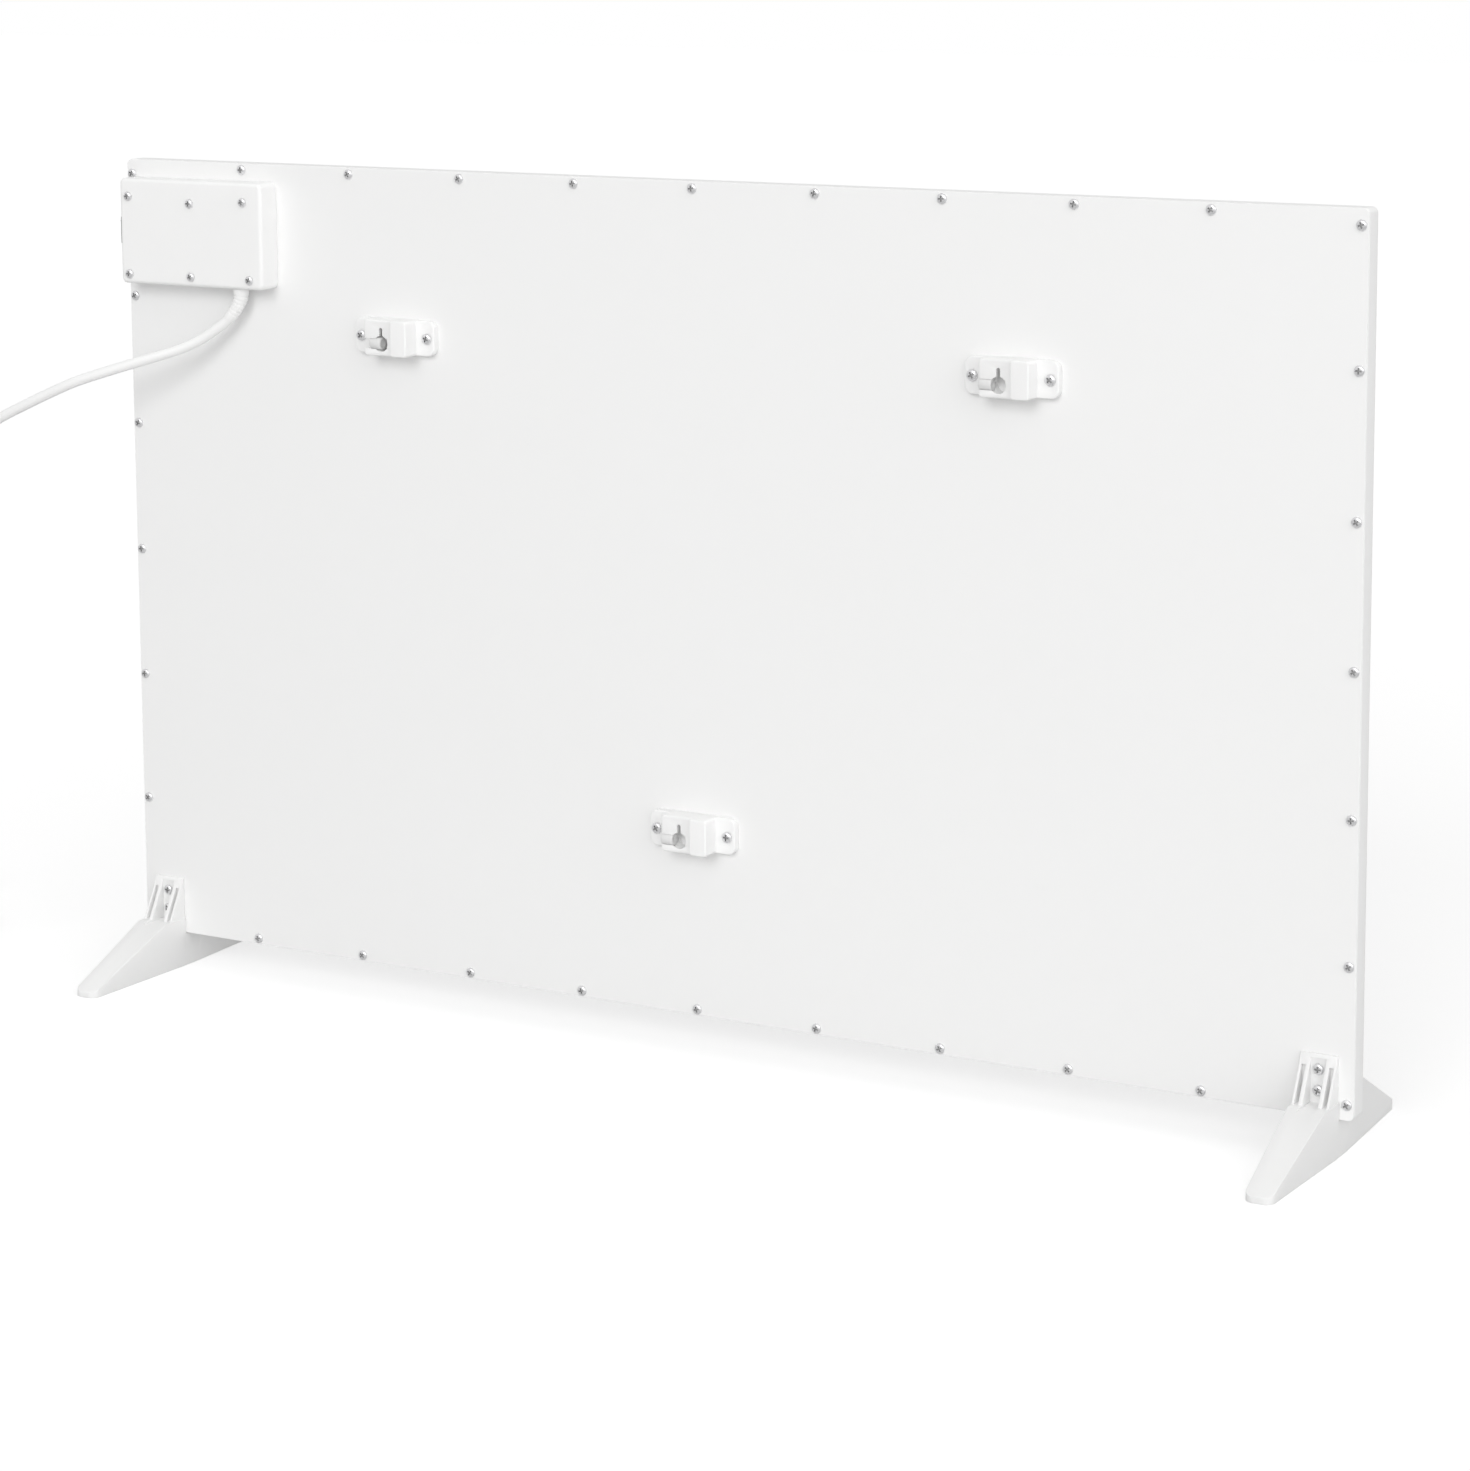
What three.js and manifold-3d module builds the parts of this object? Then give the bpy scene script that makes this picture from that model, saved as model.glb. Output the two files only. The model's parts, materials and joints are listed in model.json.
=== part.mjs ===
// A slim infrared panel heater that stands on two feet or hangs on a wall.
// Millimetres, +Z up. The warm face looks along -Y and the rear along +Y.
// The origin is on the floor, under the middle of the heater.

import * as THREE from "three";
import { mergeVertices } from "three/addons/utils/BufferGeometryUtils.js";
import Module from "manifold-3d";

// ---------------------------------------------------------------------------
// Driving dimensions
// ---------------------------------------------------------------------------

const SEAT = 0.3; // the gap left between two faces that touch on the real heater

const panel = {
  width: 1000,
  height: 604,
  depth: 18,
  clearance: 26, // floor to lower edge
  rearFace: 5, // Y of the rear sheet's outer face
  sheet: 0.8,
  corner: 4, // corner radius seen from the front
  edge: 2.4, // rounding from the front face to the rim
  flange: 12, // return flange that the rear sheet is screwed to
  rearInset: 1.5, // rear sheet, in from the rim
};

const rimScrew = {
  inset: 5,
  rowPitch: 97.9,
  perRow: 9,
  columnOffsets: [-291, -197.2, -98.6, 0, 98.6, 197.2, 291],
  pilotRadius: 1.3,
  holeRadius: 1.7,
};

const film = { inset: 6, thickness: 0.6 };
const busbar = { width: 10, thickness: 0.4, end: 19, row: 18, riserEnd: 25 };
const foil = { thickness: 0.3 };

const box = {
  fromSide: 7.5,
  fromTop: 13,
  width: 132.5,
  height: 80,
  depth: 20,
  wall: 2,
  corner: 4,
  edge: 3,
  screws: [
    [124, 66.5],
    [66, 62.8],
    [16.6, 65.6],
    [124, 7.4],
    [66, 7.5],
    [11.5, 7.4],
  ],
  screwHoleRadius: 1.8,
};

// Whatever is in or behind the box is given from this corner of it, lowest and furthest
// from the panel's side. The box's screws and the end of the busbar are, too.
const boxCorner = [
  panel.width / 2 - box.fromSide - box.width,
  panel.clearance + panel.height - box.fromTop - box.height,
];

function fromBox([x, z]) {
  return [boxCorner[0] + x, boxCorner[1] + z];
}

function boxed({ x, z, ...sizes }) {
  return {
    ...sizes,
    x: x.map((value) => boxCorner[0] + value),
    z: z.map((value) => boxCorner[1] + value),
  };
}

const cover = boxed({ x: [0, box.width], z: [0, box.height] });
const pocket = boxed({ x: [103, 127], z: [11, 81] }); // window in foil and board, for the leads

const boxBase = {
  thickness: 2,
  bossRadius: 3.5,
  pilotDepth: 12,
  fixings: [
    [45, 9],
    [95, 67],
  ].map(fromBox),
  fixingHoleRadius: 1.8,
  postRadius: 2.5,
  postHeight: 3.4,
  postInset: 4, // in from the board's corners
};

const board = boxed({ x: [38, 102], z: [15, 57], thickness: 1.6 });
const relay = boxed({ x: [70, 90], z: [23, 39], height: 9.4 });
const terminal = boxed({ x: [14, 34], z: [25, 55], height: 12, poles: 3, wireRadius: 1.6 });
const earthStud = {
  at: fromBox([98, 8]),
  radius: 2,
  length: 13,
  flange: 5,
  nutRadius: 4,
  nutHeight: 3.2,
};
const grommet = { at: fromBox([114, 19]), bore: 3.6, neck: 5.2, flange: 7, lip: 1.4 };
const cutOut = {
  at: fromBox([113, 53]),
  radius: 7,
  height: 8,
  tabWidth: 4,
  tabLength: 7,
  tabThickness: 0.8,
};
const lead = { radius: 1.2, pitch: 3.6 };

const rockerSwitch = {
  middle: 40, // up from the box's lower side
  bezel: { width: 15, height: 21, proud: 1.2 },
  body: { width: 13, height: 18.8, depth: 20 },
  mouth: { width: 10.4, height: 17.4, depth: 8 },
  rocker: { width: 9.8, halfHeight: 7.7, crest: 4.4, waist: 3.2, heel: 3, heelHalf: 7.2 },
  pivotInside: 2, // pivot axis, in from the cover's outer face
  axleRadius: 1,
  axleClearance: 0.3,
  tilt: 8, // degrees, to either side
  cutClearance: 0.3,
};

const holder = {
  spread: 502, // between the upper two
  fromTop: 123,
  fromBottom: 137.2, // the lower one
  earLength: 70,
  earHeight: 26,
  earThickness: 6,
  earCorner: 6,
  blockWidth: 38.5,
  blockHeight: 26.5,
  blockDepth: 20,
  lowDepth: 17.2, // depth of the block's lower step, which holds the socket
  stepX: -5.2,
  corner: 2.5,
  edge: 1.2,
  screwX: 29,
  socketX: 4.5,
  socketZ: -4.3,
  socketRadius: 6,
  socketFloor: 5,
  slotWidth: 5,
  slotTop: 8.6,
  lip: 3, // what the head of a wall screw catches behind
  headRoomTop: 11,
};

const lockPin = {
  radius: 4.6,
  clearance: 0.4,
  length: 9.7,
  axisY: 14, // from the rear sheet
  travel: 10,
  chamfer: 0.7,
  tongue: { width: 2, length: 3, height: 1.6, setBack: 1.3 },
  pushed: [5, 0, 0], // how far each pin has been pushed in at rest
};

const foot = {
  fromSide: 24,
  halfLength: 114,
  width: 28,
  tipWidth: 20,
  tipRound: 7,
  tipHeight: 4.5,
  edge: 0.6,
  shoulder: [29.5, 38], // Y and Z where the rear leg's slope begins
  knee: [-39.4, 43.8], // on the front leg's slope
  frontTop: 64, // top of the front leg, against the warm face
  upstandWidth: 26,
  upstandTop: 69.7,
  upstandCrest: 1.8,
  slope: [
    [10, 61.5],
    [23, 37.7],
  ],
  floorOfRecess: 7.5,
  recess: { width: 11, z: [36.5, 67] },
  slot: { x: 9.8, width: 3, z: [38, 62] },
  screwZ: [59.5, 45],
  screwHoleRadius: 2.2,
  wall: 2.5,
  ribs: [26, 46, 66, 84, 101], // cross ribs under each leg, from the middle
  ribThickness: 2,
};

const screwKinds = {
  box: { head: 3.4, height: 1.9, shank: 1.5, length: 11 },
  base: { head: 3.2, height: 1.8, shank: 1.5, length: 4.3 },
  holder: { head: 4, height: 2.1, shank: 1.6, length: 7.8 },
  foot: { head: 3.8, height: 2, shank: 1.9, length: 4.4 },
};

const cord = {
  diameter: 8,
  exit: [27, 10], // from the box's corner, and from the rear sheet
  routeTop: 536.7, // height of the first point in the list that follows
  // From the box's underside to the coil, chosen by hand along the photographed cord:
  // X from the panel's side, Y, and Z for a box whose underside is at that height.
  route: [
    [-113, 15, 536.7],
    [-113, 15, 531.4],
    [-110.2, 15.8, 523.6],
    [-103.4, 18, 514.1],
    [-92.2, 21, 504.8],
    [-79, 25, 496.1],
    [-65.7, 30, 489.8],
    [-49.3, 36, 484.2],
    [-31.9, 42, 478.6],
    [-8.5, 49, 471.1],
    [15.9, 55, 462.7],
    [37.3, 59, 453.4],
    [59.7, 62, 443],
    [83.2, 64, 431.7],
    [106, 67, 417.5],
    [127, 71, 396],
    [143, 76, 366],
    [152, 81, 330],
    [155, 86, 290],
    [155, 90, 246],
    [153, 94, 200],
    [150, 98, 154],
    [148, 101, 108],
    [148, 103, 66],
    [150.5, 104, 42],
    [157.5, 104.3, 23],
    [169, 104.3, 10],
    [183, 104.3, 4.9],
    [195.7, 104.3, 4.3],
  ],
  sides: 10,
  stepLength: 20,
};

const grip = {
  length: 26,
  rootRadius: 6.2,
  endRadius: 4.5,
  neckRadius: 4.9,
  neckClearance: 0.6,
  innerFlange: { radius: 6.5, thickness: 2.4 },
  steps: 8,
};

const coil = {
  centre: [204, 50], // X from the panel's side
  innerRadius: 40,
  pitch: 8.8, // between neighbouring turns
  layerHeight: 8.5,
  turns: 3.25,
  floorGap: 0.3,
  straight: 8,
  stepsPerTurn: 24,
  sides: 6,
  rise: 20, // run in which the end climbs to the plug's axis
};

const plug = {
  axisHeight: 18.3,
  reliefLength: 22,
  reliefRadius: [4.6, 7.5],
  bodyLength: 34,
  bodyRadius: 18,
  faceLength: 15,
  earthGroove: { width: 6, depth: 2.6, length: 12 },
  pinRadius: 2.4,
  pinLength: 19,
  pinPitch: 19,
  pinSeat: 6,
  pinClearance: 0.3,
};

// ---------------------------------------------------------------------------
// Places worked out from the dimensions
// ---------------------------------------------------------------------------

const frontFace = panel.rearFace - panel.depth;
const panelZ = [panel.clearance, panel.clearance + panel.height];
const middleZ = (panelZ[0] + panelZ[1]) / 2;
const halfWidth = panel.width / 2;
const footX = halfWidth - foot.fromSide;
const boxScrews = box.screws.map(fromBox);
const holderPlaces = [
  [holder.spread / 2, panelZ[1] - holder.fromTop],
  [-holder.spread / 2, panelZ[1] - holder.fromTop],
  [0, panelZ[0] + holder.fromBottom],
];

const rearSheetY = [panel.rearFace - panel.sheet, panel.rearFace];
const flangeY = [rearSheetY[0] - SEAT - panel.sheet, rearSheetY[0] - SEAT];
const filmY = stackOn(frontFace + panel.sheet, film.thickness);
const busbarY = stackOn(filmY[1], busbar.thickness);
const foilY = stackOn(busbarY[1], foil.thickness);
const boardY = [foilY[1] + SEAT, flangeY[0] - SEAT];

const coverY = [panel.rearFace + SEAT, panel.rearFace + box.depth];
const coverInside = coverY[1] - box.wall;
const baseY = [coverY[0], coverY[0] + boxBase.thickness];
const controlBoardY = stackOn(baseY[1] + boxBase.postHeight, board.thickness);

const cordAxisFloor = coil.floorGap + cord.diameter / 2;
const cordExit = [cover.x[0] + cord.exit[0], panel.rearFace + cord.exit[1]];
const coilCentre = [halfWidth + coil.centre[0], coil.centre[1]];
const coilOuterRadius = coil.innerRadius + (coil.pitch * coil.turns) / 2;

function stackOn(face, thickness) {
  return [face + SEAT, face + SEAT + thickness];
}

// ---------------------------------------------------------------------------
// Finishes
// ---------------------------------------------------------------------------

function finish(color, roughness, metalness = 0) {
  return new THREE.MeshStandardMaterial({ color, roughness, metalness, flatShading: true });
}

const finishes = {
  whitePaint: finish(0xf1f1f0, 0.5),
  whiteMoulding: finish(0xf2f2f1, 0.45),
  whiteCord: finish(0xf0f0ef, 0.55),
  zinc: finish(0xb4b5b6, 0.35, 0.9),
  copper: finish(0xb87349, 0.35, 1),
  nickel: finish(0xc9c6bd, 0.3, 1),
  carbonFilm: finish(0x2c2b2d, 0.7),
  aluminiumFoil: finish(0xd2d4d6, 0.3, 1),
  mineralBoard: finish(0xd9d3c4, 0.95),
  circuitBoard: finish(0x2f5b3a, 0.55),
  relayBlue: finish(0x2f4d7a, 0.5),
  terminalGrey: finish(0xc9cac8, 0.6),
  blackRubber: finish(0x232323, 0.8),
  leadSleeve: finish(0xb23a2c, 0.6),
  switchBlack: finish(0x1f1f20, 0.45),
};

// ---------------------------------------------------------------------------
// Solids
// ---------------------------------------------------------------------------

const wasm = await Module();
wasm.setup();

const FAR = [-2000, 2000];

// The geometry with its coincident vertices made one.
function welded(geometry) {
  const bare = geometry.index ? geometry.toNonIndexed() : geometry.clone();
  bare.deleteAttribute("normal");
  bare.deleteAttribute("uv");
  return mergeVertices(bare, 1e-4);
}

// A closed geometry as a solid that can be joined and cut.
function solid(geometry) {
  const merged = welded(geometry);
  const corners = merged.index.array;
  const kept = [];
  for (let i = 0; i < corners.length; i += 3) {
    const [a, b, c] = corners.slice(i, i + 3);
    if (a !== b && b !== c && c !== a) kept.push(a, b, c);
  }
  return new wasm.Manifold(
    new wasm.Mesh({
      numProp: 3,
      vertProperties: merged.attributes.position.array,
      triVerts: new Uint32Array(kept),
    }),
  );
}

function geometryOf(made) {
  const { vertProperties, triVerts } = made.getMesh();
  return new THREE.BufferGeometry()
    .setAttribute("position", new THREE.BufferAttribute(vertProperties, 3))
    .setIndex(new THREE.BufferAttribute(triVerts, 1));
}

function joined(solids) {
  return solids.reduce((sum, next) => sum.add(next));
}

function cut(body, tools) {
  return tools.reduce((rest, tool) => rest.subtract(tool), body);
}

// A block between two limits on each axis.
function slab([x0, x1], [y0, y1], [z0, z1]) {
  const geometry = new THREE.BoxGeometry(x1 - x0, y1 - y0, z1 - z0);
  return solid(geometry.translate((x0 + x1) / 2, (y0 + y1) / 2, (z0 + z1) / 2));
}

// A round bar along Y, at one X and Z.
function rodY(radius, [y0, y1], [x, z], sides = 16) {
  const geometry = new THREE.CylinderGeometry(radius, radius, y1 - y0, sides);
  return solid(geometry.translate(x, (y0 + y1) / 2, z));
}

// A round bar along X, at one Y and Z.
function rodX(radius, [x0, x1], [y, z], sides = 24) {
  const geometry = new THREE.CylinderGeometry(radius, radius, x1 - x0, sides);
  return solid(geometry.rotateZ(-Math.PI / 2).translate((x0 + x1) / 2, y, z));
}

// A round bar along Z, at one X and Y.
function rodZ(radius, [z0, z1], [x, y], sides = 16) {
  const geometry = new THREE.CylinderGeometry(radius, radius, z1 - z0, sides);
  return solid(geometry.rotateX(Math.PI / 2).translate(x, y, (z0 + z1) / 2));
}

// A body of revolution about Y, from [radius, y] points that run upwards.
function turned(profile, sides = 20) {
  return solid(new THREE.LatheGeometry(profile.map(([r, y]) => new THREE.Vector2(r, y)), sides));
}

// A rectangle with round corners between two limits on X and on Z.
function roundedOutline([x0, x1], [z0, z1], radius) {
  const shape = new THREE.Shape();
  shape.absarc(x1 - radius, z0 + radius, radius, -Math.PI / 2, 0);
  shape.absarc(x1 - radius, z1 - radius, radius, 0, Math.PI / 2);
  shape.absarc(x0 + radius, z1 - radius, radius, Math.PI / 2, Math.PI);
  shape.absarc(x0 + radius, z0 + radius, radius, Math.PI, 1.5 * Math.PI);
  return shape;
}

// An outline in X and Z made solid between two values of Y, with rounded edges.
function plate(outline, [y0, y1], edge = 0) {
  const geometry = new THREE.ExtrudeGeometry(outline, {
    depth: y1 - y0 - 2 * edge,
    curveSegments: 2,
    bevelEnabled: edge > 0,
    bevelThickness: edge,
    bevelSize: edge,
    bevelOffset: -edge,
    bevelSegments: 2,
  });
  return solid(geometry.rotateX(Math.PI / 2).translate(0, y1 - edge, 0));
}

// The same with one rounded end: a longer plate, cut off flat at the other end.
function roundedFront(outline, [y0, y1], edge) {
  const spare = edge + 1;
  return plate(outline, [y0, y1 + spare], edge).subtract(slab(FAR, [y1, y1 + 2 * spare], FAR));
}

function roundedRear(outline, [y0, y1], edge) {
  const spare = edge + 1;
  return plate(outline, [y0 - spare, y1], edge).subtract(slab(FAR, [y0 - 2 * spare, y0], FAR));
}

// A profile in Y and Z made solid across X, about X = 0, with rounded edges.
function across(points, width, edge = 0) {
  const outline = new THREE.Shape(points.map(([y, z]) => new THREE.Vector2(y, z)));
  const geometry = new THREE.ExtrudeGeometry(outline, {
    depth: width - 2 * edge,
    bevelEnabled: edge > 0,
    bevelThickness: edge,
    bevelSize: edge,
    bevelOffset: -edge,
    bevelSegments: 2,
  });
  const turn = new THREE.Matrix4().makeBasis(
    new THREE.Vector3(0, 1, 0),
    new THREE.Vector3(0, 0, 1),
    new THREE.Vector3(1, 0, 0),
  );
  return solid(geometry.translate(0, 0, edge - width / 2).applyMatrix4(turn));
}

// An outline in X and Y made solid between two heights.
function upright(outline, [z0, z1]) {
  const options = { depth: z1 - z0, curveSegments: 3, bevelEnabled: false };
  return solid(new THREE.ExtrudeGeometry(outline, options).translate(0, 0, z0));
}

// A tube of any radius along a curve, with flat ends.
function swept(curve, steps, sides, radiusAt) {
  const frames = curve.computeFrenetFrames(steps);
  const positions = [];
  const indices = [];
  for (let i = 0; i <= steps; i++) {
    const centre = curve.getPointAt(i / steps);
    positions.push(...centre.toArray());
    for (let j = 0; j < sides; j++) {
      const angle = (2 * Math.PI * j) / sides;
      const point = centre
        .clone()
        .addScaledVector(frames.normals[i], radiusAt(i / steps) * Math.cos(angle))
        .addScaledVector(frames.binormals[i], radiusAt(i / steps) * Math.sin(angle));
      positions.push(...point.toArray());
    }
  }
  const ring = (i, j) => i * (sides + 1) + 1 + (j % sides);
  const hub = (i) => i * (sides + 1);
  for (let j = 0; j < sides; j++) {
    indices.push(hub(0), ring(0, j + 1), ring(0, j));
    indices.push(hub(steps), ring(steps, j), ring(steps, j + 1));
    for (let i = 0; i < steps; i++) {
      indices.push(ring(i, j), ring(i, j + 1), ring(i + 1, j + 1));
      indices.push(ring(i, j), ring(i + 1, j + 1), ring(i + 1, j));
    }
  }
  const geometry = new THREE.BufferGeometry();
  geometry.setAttribute("position", new THREE.Float32BufferAttribute(positions, 3));
  geometry.setIndex(indices);
  return solid(geometry);
}

function piece(name, made, material, [x, y, z] = [0, 0, 0]) {
  const mesh = new THREE.Mesh(geometryOf(made), material);
  mesh.name = name;
  mesh.position.set(x, y, z);
  return mesh;
}

// ---------------------------------------------------------------------------
// Screws
// ---------------------------------------------------------------------------

// A pan-head screw along Y: the head stands on Y = 0, the shank points to the panel.
function screw({ head, height, shank, length }) {
  return turned(
    [
      [0, -length],
      [shank * 0.4, -length],
      [shank, -length + shank],
      [shank, SEAT],
      [head, SEAT],
      [head, SEAT + height * 0.35],
      [head * 0.86, SEAT + height * 0.75],
      [head * 0.5, SEAT + height],
      [0, SEAT + height],
    ],
    10,
  );
}

function rimScrewPlaces() {
  const places = [];
  const rows = [panelZ[0] + rimScrew.inset, panelZ[1] - rimScrew.inset];
  const columns = [-halfWidth + rimScrew.inset, halfWidth - rimScrew.inset];
  const mid = (rimScrew.perRow - 1) / 2;
  for (const z of rows)
    for (let i = 0; i < rimScrew.perRow; i++) places.push([(i - mid) * rimScrew.rowPitch, z]);
  for (const x of columns) for (const offset of rimScrew.columnOffsets) places.push([x, middleZ + offset]);
  return places;
}

// ---------------------------------------------------------------------------
// The panel: warm front, element, insulation and rear sheet
// ---------------------------------------------------------------------------

function inset(by) {
  return [
    [-halfWidth + by, halfWidth - by],
    [panelZ[0] + by, panelZ[1] - by],
  ];
}

function frontPanel() {
  const { sheet, corner, edge, flange } = panel;
  const outer = roundedFront(roundedOutline(...inset(0), corner), [frontFace, flangeY[1]], edge);
  const hollow = roundedFront(
    roundedOutline(...inset(sheet), corner - sheet),
    [frontFace + sheet, flangeY[0]],
    edge - sheet,
  );
  const window = plate(roundedOutline(...inset(flange), corner), [flangeY[0] - 1, flangeY[1] + 1]);
  const holes = rimScrewPlaces().map((at) =>
    rodY(rimScrew.pilotRadius, [flangeY[0] - 1, flangeY[1] + 1], at, 6),
  );
  return cut(outer, [hollow, window, ...holes]);
}

function rearSheet() {
  const sheet = plate(roundedOutline(...inset(panel.rearInset), panel.corner - panel.rearInset), rearSheetY);
  const through = [rearSheetY[0] - 1, rearSheetY[1] + 1];
  const hole = (radius, at, sides = 12) => rodY(radius, through, at, sides);
  const holderHoles = holderPlaces.flatMap(([x, z]) =>
    [-1, 1].map((side) => hole(screwKinds.holder.shank + SEAT, [x + side * holder.screwX, z])),
  );
  const footHoles = [-1, 1].flatMap((side) =>
    foot.screwZ.map((z) => hole(screwKinds.foot.shank + SEAT, [side * footX, z])),
  );
  return cut(sheet, [
    ...rimScrewPlaces().map((at) => hole(rimScrew.holeRadius, at, 6)),
    ...holderHoles,
    ...footHoles,
    ...boxBase.fixings.map((at) => hole(screwKinds.base.shank + SEAT, at)),
    hole(grommet.neck + SEAT, grommet.at, 16),
    hole(earthStud.radius + SEAT, earthStud.at),
  ]);
}

function heatingFilm() {
  return plate(roundedOutline(...inset(film.inset), panel.corner), filmY);
}

function topBusbar() {
  const z = panelZ[1] - busbar.row;
  const x = [-halfWidth + busbar.end + busbar.width, halfWidth - busbar.end - busbar.width];
  return slab(x, busbarY, [z - busbar.width / 2, z + busbar.width / 2]);
}

// An L: along the lower edge, and up beside the film to the leads.
function lowerBusbar() {
  const z = panelZ[0] + busbar.row - busbar.width / 2;
  const right = halfWidth - busbar.end / 2;
  const riserEnd = cover.z[0] + busbar.riserEnd;
  const shape = new THREE.Shape();
  shape.moveTo(-halfWidth + busbar.end, z);
  shape.lineTo(right, z);
  shape.lineTo(right, riserEnd);
  shape.lineTo(right - busbar.width, riserEnd);
  shape.lineTo(right - busbar.width, z + busbar.width);
  shape.lineTo(-halfWidth + busbar.end, z + busbar.width);
  return plate(shape, busbarY);
}

function leadWindow([y0, y1]) {
  return slab(pocket.x, [y0 - 1, y1 + 1], pocket.z);
}

function reflectorFoil() {
  return plate(roundedOutline(...inset(film.inset), panel.corner), foilY).subtract(leadWindow(foilY));
}

function insulationBoard() {
  return plate(roundedOutline(...inset(film.inset), panel.corner), boardY).subtract(leadWindow(boardY));
}

// ---------------------------------------------------------------------------
// Over-temperature cut-out, leads, grommet and earth stud
// ---------------------------------------------------------------------------

const cutOutY = stackOn(filmY[1], cutOut.height);
const tabY = [cutOutY[1] - 2 * cutOut.tabThickness, cutOutY[1] - cutOut.tabThickness];
const tabReach = cutOut.radius + cutOut.tabLength;

function thermalCutOut() {
  const { radius, tabWidth } = cutOut;
  const [x, z] = cutOut.at;
  const shoulder = cutOutY[0] + cutOut.height * 0.45;
  const can = rodY(radius, [cutOutY[0], shoulder], [x, z], 20);
  const cap = rodY(radius * 0.8, [shoulder, cutOutY[1]], [x, z], 20);
  const tabs = slab([x - tabWidth / 2, x + tabWidth / 2], tabY, [z - tabReach, z + tabReach]);
  return joined([can, cap, tabs]);
}

function wire(points) {
  const curve = new THREE.CatmullRomCurve3(points.map((p) => new THREE.Vector3(...p)));
  return swept(curve, 2 * points.length, 6, () => lead.radius);
}

const tabMiddle = (tabY[0] + tabY[1]) / 2;
const leadStart = busbarY[1] + SEAT;
const leadOverBoard = controlBoardY[1] + 5;

// From the upper busbar to the cut-out.
function busbarLead() {
  const [x, z] = cutOut.at;
  const top = panelZ[1] - busbar.row;
  return wire([
    [x, leadStart, top],
    [x, leadStart + 3, top],
    [x, tabMiddle, top - 3],
    [x, tabMiddle, z + tabReach + SEAT],
  ]);
}

// Up through the grommet and down onto the board.
function leadIntoBox(x, landZ) {
  const z = grommet.at[1];
  const landX = board.x[1] - 4;
  return [
    [x, panel.rearFace - 3, z],
    [x, panel.rearFace + 5, z],
    [x - 1.5, leadOverBoard - 2, z + (landZ - z) * 0.4],
    [(x + landX) / 2, leadOverBoard, z + (landZ - z) * 0.75],
    [landX + 1, leadOverBoard - 1.5, landZ],
    [landX, controlBoardY[1] + SEAT, landZ],
  ];
}

function cutOutLead() {
  const [passX, passZ] = grommet.at;
  const [fromX, fromZ] = cutOut.at;
  const x = passX - lead.pitch / 2;
  return wire([
    [fromX, tabMiddle, fromZ - tabReach - SEAT],
    [fromX - 0.4, tabMiddle, fromZ - tabReach - 4],
    [x, tabMiddle + 1, passZ + 6],
    ...leadIntoBox(x, passZ + 3),
  ]);
}

function returnLead() {
  const [passX, passZ] = grommet.at;
  const x = passX + lead.pitch / 2;
  const riser = halfWidth - busbar.end / 2 - busbar.width / 2;
  return wire([
    [riser, leadStart, passZ - 3],
    [riser, leadStart + 3, passZ - 3],
    [x + 4, leadStart + 6, passZ - 1.5],
    ...leadIntoBox(x, passZ + 12),
  ]);
}

function leadGrommet() {
  const { bore, neck, flange, lip } = grommet;
  const inner = rearSheetY[0] - SEAT;
  const outer = rearSheetY[1] + SEAT;
  const body = turned(
    [
      [0, inner - lip],
      [flange, inner - lip],
      [flange, inner],
      [neck, inner],
      [neck, outer],
      [flange, outer],
      [flange - 1, outer + lip],
      [0, outer + lip],
    ],
    20,
  );
  return body.subtract(rodY(bore, [inner - 5, outer + 5], [0, 0], 16));
}

function earthStudWithNut() {
  const { radius, length, flange, nutRadius, nutHeight } = earthStud;
  const under = rearSheetY[0] - SEAT;
  const over = rearSheetY[1] + SEAT;
  const stud = rodY(radius, [under - 1, over + length], [0, 0], 12);
  const weldFlange = rodY(flange, [under - 1, under], [0, 0], 16);
  const nut = rodY(nutRadius, [over, over + nutHeight], [0, 0], 6);
  return joined([stud, weldFlange, nut]);
}

// ---------------------------------------------------------------------------
// Control box
// ---------------------------------------------------------------------------

function boxOutline(by, radius) {
  return roundedOutline(
    [cover.x[0] + by, cover.x[1] - by],
    [cover.z[0] + by, cover.z[1] - by],
    radius,
  );
}

function switchWindow(clearance, [x0, x1]) {
  const { body } = rockerSwitch;
  const [, y, z] = switchPivot;
  const reachY = body.width / 2 + clearance;
  const reachZ = body.height / 2 + clearance;
  return slab([x0, x1], [y - reachY, y + reachY], [z - reachZ, z + reachZ]);
}

function controlBoxCover() {
  const { wall, corner, edge } = box;
  const shell = roundedRear(boxOutline(0, corner), coverY, edge);
  const hollow = roundedRear(
    boxOutline(wall, corner - wall * 0.5),
    [coverY[0] - 1, coverInside],
    edge - wall,
  );
  const through = [coverInside - 1, coverY[1] + 1];
  const screwHoles = boxScrews.map((at) => rodY(box.screwHoleRadius, through, at, 12));
  const cordHoleRadius = grip.neckRadius + grip.neckClearance;
  const cordHole = rodZ(cordHoleRadius, [cover.z[0] - 1, cover.z[0] + wall + 1], cordExit);
  const window = switchWindow(rockerSwitch.cutClearance, [cover.x[1] - wall - 1, cover.x[1] + 1]);
  return cut(shell, [hollow, ...screwHoles, cordHole, window]);
}

function boardPosts() {
  const { postInset } = boxBase;
  return [board.x[0] + postInset, board.x[1] - postInset].flatMap((x) =>
    [board.z[0] + postInset, board.z[1] - postInset].map((z) => [x, z]),
  );
}

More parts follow.
